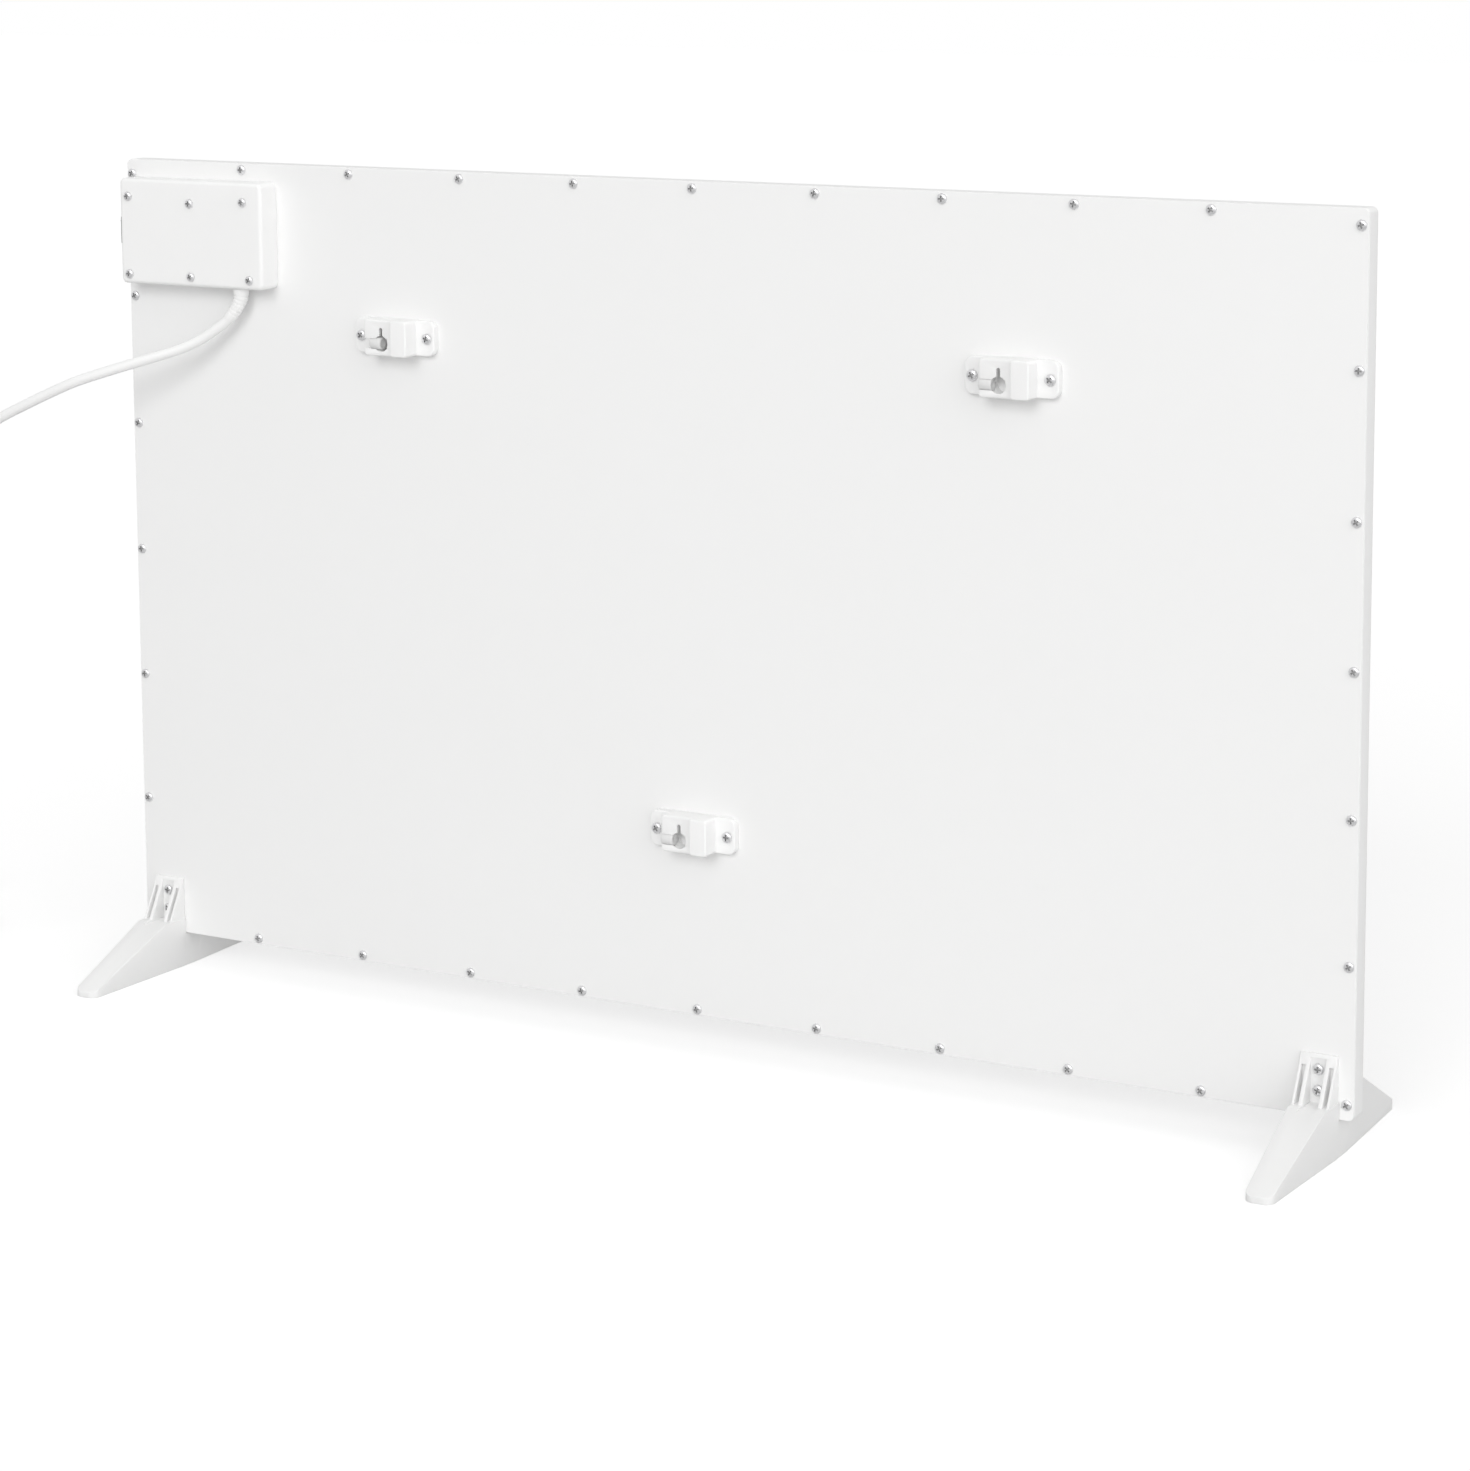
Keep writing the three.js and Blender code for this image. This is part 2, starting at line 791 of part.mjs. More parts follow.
function controlBoxBase() {
  const { bossRadius, pilotDepth, postRadius, postHeight } = boxBase;
  const plateBody = plate(boxOutline(box.wall + SEAT, box.corner - box.wall * 0.5), baseY);
  const bossTop = coverInside - SEAT;
  const bosses = boxScrews.map((at) => rodY(bossRadius, [baseY[0] + 1, bossTop], at, 12));
  const posts = boardPosts().map((at) => rodY(postRadius, [baseY[0] + 1, baseY[1] + postHeight], at, 8));
  const through = [baseY[0] - 1, baseY[1] + 1];
  return cut(joined([plateBody, ...bosses, ...posts]), [
    ...boxScrews.map((at) => rodY(screwKinds.box.shank + SEAT, [bossTop - pilotDepth, bossTop + 1], at, 8)),
    ...boxBase.fixings.map((at) => rodY(boxBase.fixingHoleRadius, through, at, 12)),
    rodY(grommet.flange + SEAT, through, grommet.at, 16),
    rodY(earthStud.nutRadius + 1, through, earthStud.at, 16),
  ]);
}

function controlBoard() {
  return slab(board.x, controlBoardY, board.z);
}

function relayBody() {
  const y = stackOn(controlBoardY[1], relay.height);
  return plate(roundedOutline(relay.x, relay.z, 1), y);
}

// Three poles side by side, each with a wire mouth below and a screw well at the rear.
function terminalBlock() {
  const { x, z, height, poles, wireRadius } = terminal;
  const y = stackOn(baseY[1], height);
  const pitch = (x[1] - x[0]) / poles;
  const wells = [];
  for (let i = 0; i < poles; i++) {
    const poleX = x[0] + (i + 0.5) * pitch;
    wells.push(rodZ(wireRadius, [z[0] - 1, z[0] + 10], [poleX, terminalMouthY], 10));
    for (const wellZ of [z[0] + 8, z[1] - 8]) wells.push(rodY(2, [y[1] - 5, y[1] + 1], [poleX, wellZ], 8));
  }
  return cut(slab(x, y, z), wells);
}

const terminalMouthY = cordExit[1];

// The cord's jacket inside the box, and its three cores up to the terminal block.
function cordTail() {
  const gripTop = cover.z[0] + box.wall + SEAT + grip.innerFlange.thickness;
  const jacketEnd = gripTop + 9;
  const jacket = rodZ(cord.diameter / 2 - 0.4, [gripTop + SEAT, jacketEnd], cordExit, 16);
  const pitch = (terminal.x[1] - terminal.x[0]) / terminal.poles;
  const cores = [];
  for (let i = 0; i < terminal.poles; i++) {
    const poleX = terminal.x[0] + (i + 0.5) * pitch;
    const rootX = cordExit[0] + (i - 1) * 2.2;
    const points = [
      [rootX, terminalMouthY, jacketEnd - 2],
      [rootX, terminalMouthY, jacketEnd + 2],
      [poleX, terminalMouthY, terminal.z[0] - 2],
      [poleX, terminalMouthY, terminal.z[0] + 1.5],
      [poleX, terminalMouthY, terminal.z[0] + 5],
    ];
    const curve = new THREE.CatmullRomCurve3(points.map((p) => new THREE.Vector3(...p)));
    cores.push(swept(curve, 8, 5, () => terminal.wireRadius - SEAT));
  }
  return joined([jacket, ...cores]);
}

// ---------------------------------------------------------------------------
// Rocker switch, in the outer side of the box
// ---------------------------------------------------------------------------

const switchPivot = [
  cover.x[1] - rockerSwitch.pivotInside,
  panel.rearFace + box.depth / 2,
  cover.z[0] + rockerSwitch.middle,
];

// The housing about its pivot axis, mouth towards +X.
function switchHousing() {
  const { bezel, body, mouth, axleRadius, axleClearance, pivotInside } = rockerSwitch;
  const wallFace = pivotInside + SEAT;
  const centred = (size) => [-size / 2, size / 2];
  const frame = slab([wallFace, pivotInside + bezel.proud], centred(bezel.width), centred(bezel.height));
  const shell = slab(
    [pivotInside - body.depth, wallFace + bezel.proud / 2],
    centred(body.width),
    centred(body.height),
  );
  const well = slab(
    [pivotInside + bezel.proud - mouth.depth, pivotInside + 5],
    centred(mouth.width),
    centred(mouth.height),
  );
  const axleHoles = rodY(axleRadius + axleClearance, centred(body.width + 2), [0, 0], 12);
  const tabs = [-5, 5].map((z) =>
    slab([pivotInside - body.depth - 6, pivotInside - body.depth + 1], [-2, 2], [z - 0.4, z + 0.4]),
  );
  return joined([cut(joined([frame, shell]), [well, axleHoles]), ...tabs]);
}

// The rocker about its pivot axis: two faces that meet in a shallow V, and an axle.
function switchRocker() {
  const { rocker, body, axleRadius } = rockerSwitch;
  const { width, halfHeight, crest, waist, heel, heelHalf } = rocker;
  const shape = new THREE.Shape();
  shape.moveTo(-heel, -heelHalf);
  shape.lineTo(crest, -halfHeight);
  shape.lineTo(waist, 0);
  shape.lineTo(crest, halfHeight);
  shape.lineTo(-heel, heelHalf);
  const key = plate(shape, [-width / 2, width / 2]);
  const axle = rodY(axleRadius, [-body.width / 2 + SEAT, body.width / 2 - SEAT], [0, 0], 12);
  return key.add(axle);
}

// ---------------------------------------------------------------------------
// Wall holders
// ---------------------------------------------------------------------------

// A moulded holder about its centre, standing on Y = 0: two ears, and a block with a
// keyhole for the head of a wall screw and a channel for the pin that locks it.
function wallHolder() {
  const h = holder;
  const ears = plate(
    roundedOutline([-h.earLength / 2, h.earLength / 2], [-h.earHeight / 2, h.earHeight / 2], h.earCorner),
    [SEAT, h.earThickness],
    1,
  );
  const blockZ = [-h.blockHeight / 2, h.blockHeight / 2];
  const high = roundedRear(
    roundedOutline([-h.blockWidth / 2, h.stepX], blockZ, h.corner),
    [SEAT, h.blockDepth],
    h.edge,
  );
  const low = roundedRear(
    roundedOutline([h.stepX - 2 * h.corner, h.blockWidth / 2], blockZ, h.corner),
    [SEAT, h.lowDepth],
    h.edge,
  );
  const body = joined([ears, high, low]);

  const lipFront = h.lowDepth - h.lip;
  const beyond = h.blockDepth + 1;
  const socket = rodY(h.socketRadius, [h.socketFloor, beyond], [h.socketX, h.socketZ], 24);
  const slot = slab(
    [h.socketX - h.slotWidth / 2, h.socketX + h.slotWidth / 2],
    [lipFront - 1, beyond],
    [h.socketZ, h.slotTop],
  );
  const headRoom = slab(
    [h.socketX - h.socketRadius + SEAT, h.socketX + h.socketRadius - SEAT],
    [h.socketFloor, lipFront],
    [h.socketZ, h.headRoomTop],
  );
  const { tongue } = lockPin;
  const channelRadius = lockPin.radius + lockPin.clearance;
  const channelStart = pinRestX[0] - lockPin.travel - 0.5;
  const channel = rodX(channelRadius, [channelStart, h.blockWidth / 2 + 1], [lockPin.axisY, h.socketZ]);
  const tongueTip = lockPin.axisY - lockPin.radius - tongue.height;
  const groove = slab(
    [h.socketX, pinRestX[1] - tongue.setBack + lockPin.clearance],
    [tongueTip - lockPin.clearance, lockPin.axisY],
    [
      h.socketZ - tongue.width / 2 - lockPin.clearance,
      h.socketZ + tongue.width / 2 + lockPin.clearance,
    ],
  );
  const screwHoles = [-1, 1].map((side) =>
    rodY(screwKinds.holder.shank + SEAT, [-1, h.earThickness + 1], [side * h.screwX, 0], 12),
  );
  return cut(body, [socket, slot, headRoom, channel, groove, ...screwHoles]);
}

const pinRestX = [holder.blockWidth / 2 - lockPin.length, holder.blockWidth / 2];

// The pin about its own axis along X, with the tongue that keeps it in its channel.
function lockingPin() {
  const { radius, length, chamfer, tongue } = lockPin;
  const profile = [
    [0, 0],
    [radius - chamfer, 0],
    [radius, chamfer],
    [radius, length - chamfer],
    [radius - chamfer, length],
    [0, length],
  ].map(([r, y]) => new THREE.Vector2(r, y));
  const bar = solid(new THREE.LatheGeometry(profile, 20).rotateZ(-Math.PI / 2));
  const key = slab(
    [length - tongue.setBack - tongue.length, length - tongue.setBack],
    [-radius - tongue.height, -radius + 1],
    [-tongue.width / 2, tongue.width / 2],
  );
  return bar.add(key);
}

// ---------------------------------------------------------------------------
// Feet
// ---------------------------------------------------------------------------

// The foot seen from above: widest under the panel, tapering to two round tips.
function footPlan() {
  const { halfLength, width, tipWidth, tipRound } = foot;
  const roundStart = halfLength - tipRound;
  const roundX = tipWidth / 2 - tipRound;
  const shape = new THREE.Shape();
  shape.moveTo(width / 2, -panel.depth / 2);
  shape.lineTo(width / 2, panel.depth / 2);
  shape.absarc(roundX, roundStart, tipRound, 0, Math.PI / 2);
  shape.absarc(-roundX, roundStart, tipRound, Math.PI / 2, Math.PI);
  shape.lineTo(-width / 2, panel.depth / 2);
  shape.lineTo(-width / 2, -panel.depth / 2);
  shape.absarc(-roundX, -roundStart, tipRound, Math.PI, 1.5 * Math.PI);
  shape.absarc(roundX, -roundStart, tipRound, 1.5 * Math.PI, 2 * Math.PI);
  return shape;
}

// The same taper, a wall's thickness inside it.
function footPlanInside() {
  const { halfLength, width, tipWidth, tipRound, wall } = foot;
  const [x0, y0] = [width / 2 - wall, panel.depth / 2];
  const [x1, y1] = [tipWidth / 2 - wall, halfLength - tipRound];
  const oneSide = [
    [x1, -y1],
    [x0, -y0],
    [x0, y0],
    [x1, y1],
  ];
  const otherSide = oneSide.map(([x, y]) => [-x, -y]);
  return new THREE.Shape([...oneSide, ...otherSide].map(([x, y]) => new THREE.Vector2(x, y)));
}

const notchY = [frontFace - SEAT, panel.rearFace + SEAT];
const notchFloor = panelZ[0] - SEAT;

function footProfile() {
  const { halfLength, tipHeight, shoulder, knee, frontTop } = foot;
  return [
    [-halfLength, 0],
    [halfLength, 0],
    [halfLength, tipHeight],
    shoulder,
    [notchY[1], shoulder[1]],
    [notchY[1], notchFloor],
    [notchY[0], notchFloor],
    [notchY[0], frontTop],
    knee,
    [-halfLength, tipHeight],
  ];
}

// Height of the leg's upper side at a distance from the middle, on the lower of both legs.
function legTop(y) {
  const [y0, z0] = foot.shoulder;
  const share = Math.max(0, (Math.abs(y) - y0) / (foot.halfLength - y0));
  return z0 + (foot.tipHeight - z0) * share;
}

// The hollows under a leg, between its cross ribs.
function legHollows(side) {
  const { ribs, ribThickness, wall } = foot;
  return ribs.slice(1).map((rib, i) => {
    const y0 = ribs[i] + ribThickness / 2;
    const y1 = rib - ribThickness / 2;
    const points = [
      [side * y0, -1],
      [side * y1, -1],
      [side * y1, legTop(y1) - wall],
      [side * y0, legTop(y0) - wall],
    ];
    return across(points, foot.width);
  });
}

function footBody() {
  const { width, edge, wall, ribs, ribThickness, upstandWidth, recess, slot } = foot;
  const legs = across(footProfile(), width + 2).intersect(upright(footPlan(), [-1, foot.upstandTop]));
  const root = foot.shoulder[1] - 4; // the upstand starts inside the leg
  const upstand = across(
    [
      [notchY[1], root],
      [foot.slope[1][0], root],
      ...[...foot.slope].reverse(),
      [notchY[1] + foot.upstandCrest, foot.upstandTop],
      [notchY[1], foot.upstandTop],
    ],
    upstandWidth,
    edge,
  );
  const reach = ribs[0] - ribThickness / 2;
  const middleHollow = slab([-width / 2, width / 2], [-reach, reach], [-1, notchFloor - wall]);
  const hollows = joined([middleHollow, ...legHollows(1), ...legHollows(-1)]).intersect(
    upright(footPlanInside(), [-2, foot.upstandTop]),
  );
  const centred = (x, size) => [x - size / 2, x + size / 2];
  const outward = [foot.floorOfRecess, foot.shoulder[0] + 5];
  const recessCut = slab(centred(0, recess.width), outward, recess.z);
  const slotCuts = [-1, 1].map((side) => slab(centred(side * slot.x, slot.width), outward, slot.z));
  const through = [notchY[1] - 1, outward[0] + 1];
  const screwHoles = foot.screwZ.map((z) => rodY(foot.screwHoleRadius, through, [0, z], 12));
  return cut(legs.add(upstand), [hollows, recessCut, ...slotCuts, ...screwHoles]);
}

// ---------------------------------------------------------------------------
// Cord, strain relief, coil and plug
// ---------------------------------------------------------------------------

// How far the box's underside is from where the listed route has it, shared out over the
// cord's height so that it still lands where the coil starts.
function onRoute([x, y, z]) {
  const rise = cover.z[0] - SEAT - cord.routeTop;
  const share = (z - cordAxisFloor) / (cord.routeTop - cordAxisFloor);
  return new THREE.Vector3(halfWidth + x, y, z + rise * share);
}

const wholeRoute = new THREE.CatmullRomCurve3(
  cord.route.map(onRoute),
  false,
  "centripetal",
);
wholeRoute.arcLengthDivisions = 2000;
const routeLength = wholeRoute.getLength();

// The stretch of the route between two lengths along it, on points a millimetre apart.
function stretch(from, to) {
  const count = Math.ceil(to - from);
  const points = [];
  for (let i = 0; i <= count; i++)
    points.push(wholeRoute.getPointAt((from + ((to - from) * i) / count) / routeLength));
  return new THREE.CatmullRomCurve3(points, false, "centripetal");
}

function cordGrip() {
  const { length, rootRadius, endRadius, neckRadius, innerFlange, steps } = grip;
  const sleeve = swept(
    stretch(0, length),
    steps,
    12,
    (share) => rootRadius + (endRadius - rootRadius) * share ** 0.8,
  );
  const wallTop = cover.z[0] + box.wall + SEAT;
  const neck = rodZ(neckRadius, [cover.z[0] - SEAT - 1, wallTop + 0.5], cordExit);
  const flange = rodZ(innerFlange.radius, [wallTop, wallTop + innerFlange.thickness], cordExit);
  return joined([sleeve, neck, flange]);
}

function freeCord() {
  const from = grip.length + SEAT;
  const to = routeLength - SEAT;
  const steps = Math.round((to - from) / cord.stepLength);
  const section = new THREE.Shape().absarc(0, 0, cord.diameter / 2, 0, 2 * Math.PI);
  const geometry = new THREE.ExtrudeGeometry(section, {
    steps,
    curveSegments: cord.sides / 2, // an arc gets two sides for each
    extrudePath: stretch(from, to),
  });
  return solid(geometry);
}

// Centre line of the coil: in along the floor, up a layer in the half turn where the
// spiral reverses, out again on top, and on to the plug.
function coilCentreLine() {
  const { innerRadius, pitch, layerHeight, turns, straight, stepsPerTurn, rise } = coil;
  const [centreX, centreY] = coilCentre;
  const points = [new THREE.Vector3(centreX - straight, centreY + coilOuterRadius, cordAxisFloor)];
  const steps = Math.round(turns * stepsPerTurn);
  for (let i = 0; i <= steps; i++) {
    const turn = (turns * i) / steps;
    const fromReversal = turn - turns / 2;
    const radius = innerRadius + pitch * Math.abs(fromReversal);
    const climbed = Math.min(1, Math.max(0, 2 * (fromReversal + 0.25)));
    const angle = Math.PI / 2 - 2 * Math.PI * turn;
    points.push(
      new THREE.Vector3(
        centreX + radius * Math.cos(angle),
        centreY + radius * Math.sin(angle),
        cordAxisFloor + layerHeight * climbed,
      ),
    );
  }
  const top = cordAxisFloor + layerHeight;
  const x = centreX + coilOuterRadius;
  for (const share of [0.3, 0.5, 0.7, 1])
    points.push(
      new THREE.Vector3(
        x,
        centreY - straight - rise * share,
        top + (plug.axisHeight - top) * (share * share * (3 - 2 * share)),
      ),
    );
  points.push(new THREE.Vector3(x, centreY - 2 * straight - rise, plug.axisHeight));
  return points;
}

// The least gap between two turns, from points a good part of a turn apart.
function leastGap(points) {
  const apart = Math.round(coil.stepsPerTurn / 3);
  let least = Infinity;
  for (let i = 0; i < points.length; i++)
    for (let j = i + apart; j < points.length; j++) {
      const line = new THREE.Line3(points[j - 1], points[j]);
      const nearest = line.closestPointToPoint(points[i], true, new THREE.Vector3());
      least = Math.min(least, nearest.distanceTo(points[i]));
    }
  return least - cord.diameter;
}

// A tube of rings that stand square to a line of points.
function tubeThrough(points, sides, radius) {
  const up = new THREE.Vector3(0, 0, 1);
  const positions = [];
  const indices = [];
  points.forEach((centre, i) => {
    const before = points[Math.max(0, i - 1)];
    const after = points[Math.min(points.length - 1, i + 1)];
    const along = after.clone().sub(before).normalize();
    const level = along.clone().cross(up).normalize();
    const square = level.clone().cross(along);
    positions.push(...centre.toArray());
    for (let j = 0; j < sides; j++) {
      const angle = (2 * Math.PI * (j + 0.5)) / sides;
      const point = centre
        .clone()
        .addScaledVector(level, radius * Math.cos(angle))
        .addScaledVector(square, radius * Math.sin(angle));
      positions.push(...point.toArray());
    }
  });
  const ring = (i, j) => i * (sides + 1) + 1 + (j % sides);
  const last = points.length - 1;
  for (let j = 0; j < sides; j++) {
    indices.push(0, ring(0, j), ring(0, j + 1));
    indices.push(last * (sides + 1), ring(last, j + 1), ring(last, j));
    for (let i = 0; i < last; i++) {
      indices.push(ring(i, j), ring(i + 1, j + 1), ring(i, j + 1));
      indices.push(ring(i, j), ring(i + 1, j), ring(i + 1, j + 1));
    }
  }
  const geometry = new THREE.BufferGeometry();
  geometry.setAttribute("position", new THREE.Float32BufferAttribute(positions, 3));
  geometry.setIndex(indices);
  return solid(geometry);
}

const coilPoints = coilCentreLine();
const coilEnd = coilPoints[coilPoints.length - 1];

// The plug about its own axis along Y, cord end at Y = 0 and face at -Y.
function plugBody() {
  const { reliefLength, reliefRadius, bodyLength, bodyRadius, faceLength, earthGroove, pinSeat } = plug;
  const end = -reliefLength - bodyLength;
  const neckEnd = end + faceLength;
  const body = turned(
    [
      [0, end],
      [bodyRadius - 1.2, end],
      [bodyRadius, end + 1.2],
      [bodyRadius, neckEnd],
      [bodyRadius * 0.93, neckEnd + 4],
      [bodyRadius * 0.72, neckEnd + 10],
      [bodyRadius * 0.55, -reliefLength],
      [reliefRadius[1], -reliefLength + 0.5],
      [reliefRadius[0], -SEAT],
      [0, -SEAT],
    ],
    20,
  );
  const grooveX = [-earthGroove.width / 2, earthGroove.width / 2];
  const grooves = [-1, 1].map((side) => {
    const depth = [bodyRadius - earthGroove.depth, bodyRadius + 1].map((z) => side * z).sort((a, b) => a - b);
    return slab(grooveX, [end - 1, end + earthGroove.length], depth);
  });
  const seats = plugPinPlaces().map((x) =>
    rodY(plug.pinRadius + plug.pinClearance, [end - 1, end + pinSeat], [x, 0], 16),
  );
  return cut(body, [...grooves, ...seats]);
}

function plugPinPlaces() {
  return [-plug.pinPitch / 2, plug.pinPitch / 2];
}

function plugPin() {
  const { pinRadius, pinLength, pinSeat, pinClearance } = plug;
  return turned(
    [
      [0, -pinLength],
      [pinRadius * 0.6, -pinLength],
      [pinRadius, -pinLength + pinRadius * 0.7],
      [pinRadius, pinSeat - pinClearance],
      [0, pinSeat - pinClearance],
    ],
    16,
  );
}

// ---------------------------------------------------------------------------
// Assembly
// ---------------------------------------------------------------------------

function behind([x, z]) {
  return [x, 0, z];
}

function panelGroup() {
  const group = new THREE.Group();
  group.add(
    piece("front_panel", frontPanel(), finishes.whitePaint),
    piece("heating_film", heatingFilm(), finishes.carbonFilm),
    piece("busbar_top", topBusbar(), finishes.copper),
    piece("busbar_lower", lowerBusbar(), finishes.copper),
    piece("reflector_foil", reflectorFoil(), finishes.aluminiumFoil),
    piece("insulation_board", insulationBoard(), finishes.mineralBoard),
    piece("rear_sheet", rearSheet(), finishes.whitePaint),
    piece("thermal_cutout", thermalCutOut(), finishes.nickel),
    piece("busbar_lead", busbarLead(), finishes.leadSleeve),
    piece("cutout_lead", cutOutLead(), finishes.leadSleeve),
    piece("return_lead", returnLead(), finishes.leadSleeve),
    piece("lead_grommet", leadGrommet(), finishes.blackRubber, behind(grommet.at)),
    piece("earth_stud", earthStudWithNut(), finishes.zinc, behind(earthStud.at)),
  );
  return group;
}

function controlBoxGroup() {
  const group = new THREE.Group();
  group.add(
    piece("control_box_base", controlBoxBase(), finishes.whiteMoulding),
    piece("control_box_cover", controlBoxCover(), finishes.whiteMoulding),
    piece("control_board", controlBoard(), finishes.circuitBoard),
    piece("relay", relayBody(), finishes.relayBlue),
    piece("terminal_block", terminalBlock(), finishes.terminalGrey),
    piece("cord_tail", cordTail(), finishes.whiteCord),
  );
  boxScrews.forEach(([x, z], i) => {
    group.add(piece(`box_screw_${i + 1}`, screw(screwKinds.box), finishes.zinc, [x, coverY[1], z]));
  });
  boxBase.fixings.forEach(([x, z], i) => {
    group.add(piece(`base_screw_${i + 1}`, screw(screwKinds.base), finishes.zinc, [x, baseY[1], z]));
  });
  const switchGroup = new THREE.Group();
  switchGroup.position.set(...switchPivot);
  const rocker = piece("switch_rocker", switchRocker(), finishes.switchBlack);
  rocker.rotation.y = THREE.MathUtils.degToRad(rockerSwitch.tilt);
  switchGroup.add(piece("switch_housing", switchHousing(), finishes.switchBlack), rocker);
  group.add(switchGroup);
  return group;
}

function holderGroup([x, z], i) {
  const group = new THREE.Group();
  group.position.set(x, panel.rearFace, z);
  group.add(piece(`wall_holder_${i + 1}`, wallHolder(), finishes.whiteMoulding));
  const pinX = pinRestX[0] - lockPin.pushed[i];
  group.add(
    piece(`lock_pin_${i + 1}`, lockingPin(), finishes.whiteMoulding, [pinX, lockPin.axisY, holder.socketZ]),
  );
  [1, -1].forEach((side, j) => {
    const place = [side * holder.screwX, holder.earThickness, 0];
    group.add(piece(`holder_screw_${2 * i + j + 1}`, screw(screwKinds.holder), finishes.zinc, place));
  });
  return group;
}

function footGroup(side, i) {
  const group = new THREE.Group();
  group.position.set(side * footX, 0, 0);
  group.add(piece(`foot_${i + 1}`, footBody(), finishes.whiteMoulding));
  foot.screwZ.forEach((z, j) => {
    const place = [0, foot.floorOfRecess, z];
    group.add(piece(`foot_screw_${2 * i + j + 1}`, screw(screwKinds.foot), finishes.zinc, place));
  });
  return group;
}

function cordGroup() {
  const group = new THREE.Group();
  group.add(
    piece("cord_grip", cordGrip(), finishes.whiteCord),
    piece("power_cord", freeCord(), finishes.whiteCord),
    piece("cord_coil", tubeThrough(coilPoints, coil.sides, cord.diameter / 2), finishes.whiteCord),
  );
  const plugGroup = new THREE.Group();
  plugGroup.position.copy(coilEnd);
  plugGroup.add(piece("mains_plug", plugBody(), finishes.whiteMoulding));
  const face = -plug.reliefLength - plug.bodyLength;
  plugPinPlaces().forEach((x, i) => {
    plugGroup.add(piece(`plug_pin_${i + 1}`, plugPin(), finishes.nickel, [x, face, 0]));
  });
  group.add(plugGroup);
  return group;
}

const heater = new THREE.Group();
heater.add(panelGroup(), controlBoxGroup(), cordGroup());
heater.add(...holderPlaces.map(holderGroup));
heater.add(...[1, -1].map(footGroup));

const coilLength = coilPoints.slice(1).reduce((sum, p, i) => sum + p.distanceTo(coilPoints[i]), 0);
console.log(`least gap between the coil's turns: ${leastGap(coilPoints).toFixed(2)} mm`);
console.log(`cord: ${(routeLength + coilLength).toFixed(0)} mm, ${routeLength.toFixed(0)} mm of it free`);

export default heater;
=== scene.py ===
"""Looks of a white infrared panel heater, seen from behind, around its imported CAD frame."""

from __future__ import annotations

import json
import logging
import math
from collections.abc import Callable, Iterable, Sequence
from dataclasses import dataclass
from enum import Enum
from typing import Any

import bmesh
import bpy
from mathutils import Matrix, Vector

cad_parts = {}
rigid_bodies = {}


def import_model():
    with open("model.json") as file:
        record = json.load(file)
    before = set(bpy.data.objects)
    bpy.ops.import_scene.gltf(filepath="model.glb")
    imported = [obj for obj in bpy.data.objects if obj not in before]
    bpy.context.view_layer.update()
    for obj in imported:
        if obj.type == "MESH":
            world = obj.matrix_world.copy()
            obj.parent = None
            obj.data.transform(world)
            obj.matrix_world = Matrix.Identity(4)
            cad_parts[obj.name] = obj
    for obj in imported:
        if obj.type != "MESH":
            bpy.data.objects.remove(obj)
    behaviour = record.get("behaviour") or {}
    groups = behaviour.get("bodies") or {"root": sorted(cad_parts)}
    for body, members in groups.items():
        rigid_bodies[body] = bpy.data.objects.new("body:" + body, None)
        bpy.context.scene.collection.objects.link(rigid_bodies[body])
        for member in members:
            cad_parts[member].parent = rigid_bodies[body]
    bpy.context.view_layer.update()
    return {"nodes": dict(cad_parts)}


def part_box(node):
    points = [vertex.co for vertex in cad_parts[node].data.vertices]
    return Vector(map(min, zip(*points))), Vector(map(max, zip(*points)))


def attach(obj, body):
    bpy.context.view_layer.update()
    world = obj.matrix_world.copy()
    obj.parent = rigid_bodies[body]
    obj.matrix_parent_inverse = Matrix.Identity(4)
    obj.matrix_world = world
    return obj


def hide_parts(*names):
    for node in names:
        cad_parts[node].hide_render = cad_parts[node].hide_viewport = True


LOG = logging.getLogger("heater")
MM = 0.001  # metres in a millimetre
HEATER = "heater"  # the body that everything but the rocker and the pins belongs to
SEAT = 0.3  # gap that the CAD model leaves between pieces that touch, in mm
SEAM = 0.02  # gap left here, so that no dark line shows
WELD = 0.0001  # points nearer than this become one, in mm
LEAST_RADIUS = 0.02  # corners keep this much, so that outlines keep their number of points
OVERCUT = 1.0  # how far a tool reaches past the face that it opens, in mm
SIDES = (-1, 1)  # factors for what is there twice, about a middle

Point2 = tuple[float, float]
Point3 = tuple[float, float, float]
Colour = tuple[float, float, float]


# ---------------------------------------------------------------------------
# Mesh making
# ---------------------------------------------------------------------------


class Axis(Enum):
    """Direction that an outline is made solid along."""

    X = 0
    Y = 1
    Z = 2

    def place(self, first: float, second: float, along: float) -> Vector:
        """Point from the two coordinates of an outline and the one along this axis."""
        spots = {
            Axis.X: (along, first, second),
            Axis.Y: (first, along, second),
            Axis.Z: (first, second, along),
        }
        return Vector(spots[self])


class Join(Enum):
    """What a tool does to a piece."""

    ADD = "UNION"
    CUT = "DIFFERENCE"
    KEEP_SHARED = "INTERSECT"


def link(name: str, data: Any) -> bpy.types.Object:
    """Links a new object with some data to the scene."""
    made = bpy.data.objects.new(name, data)
    bpy.context.scene.collection.objects.link(made)
    return made


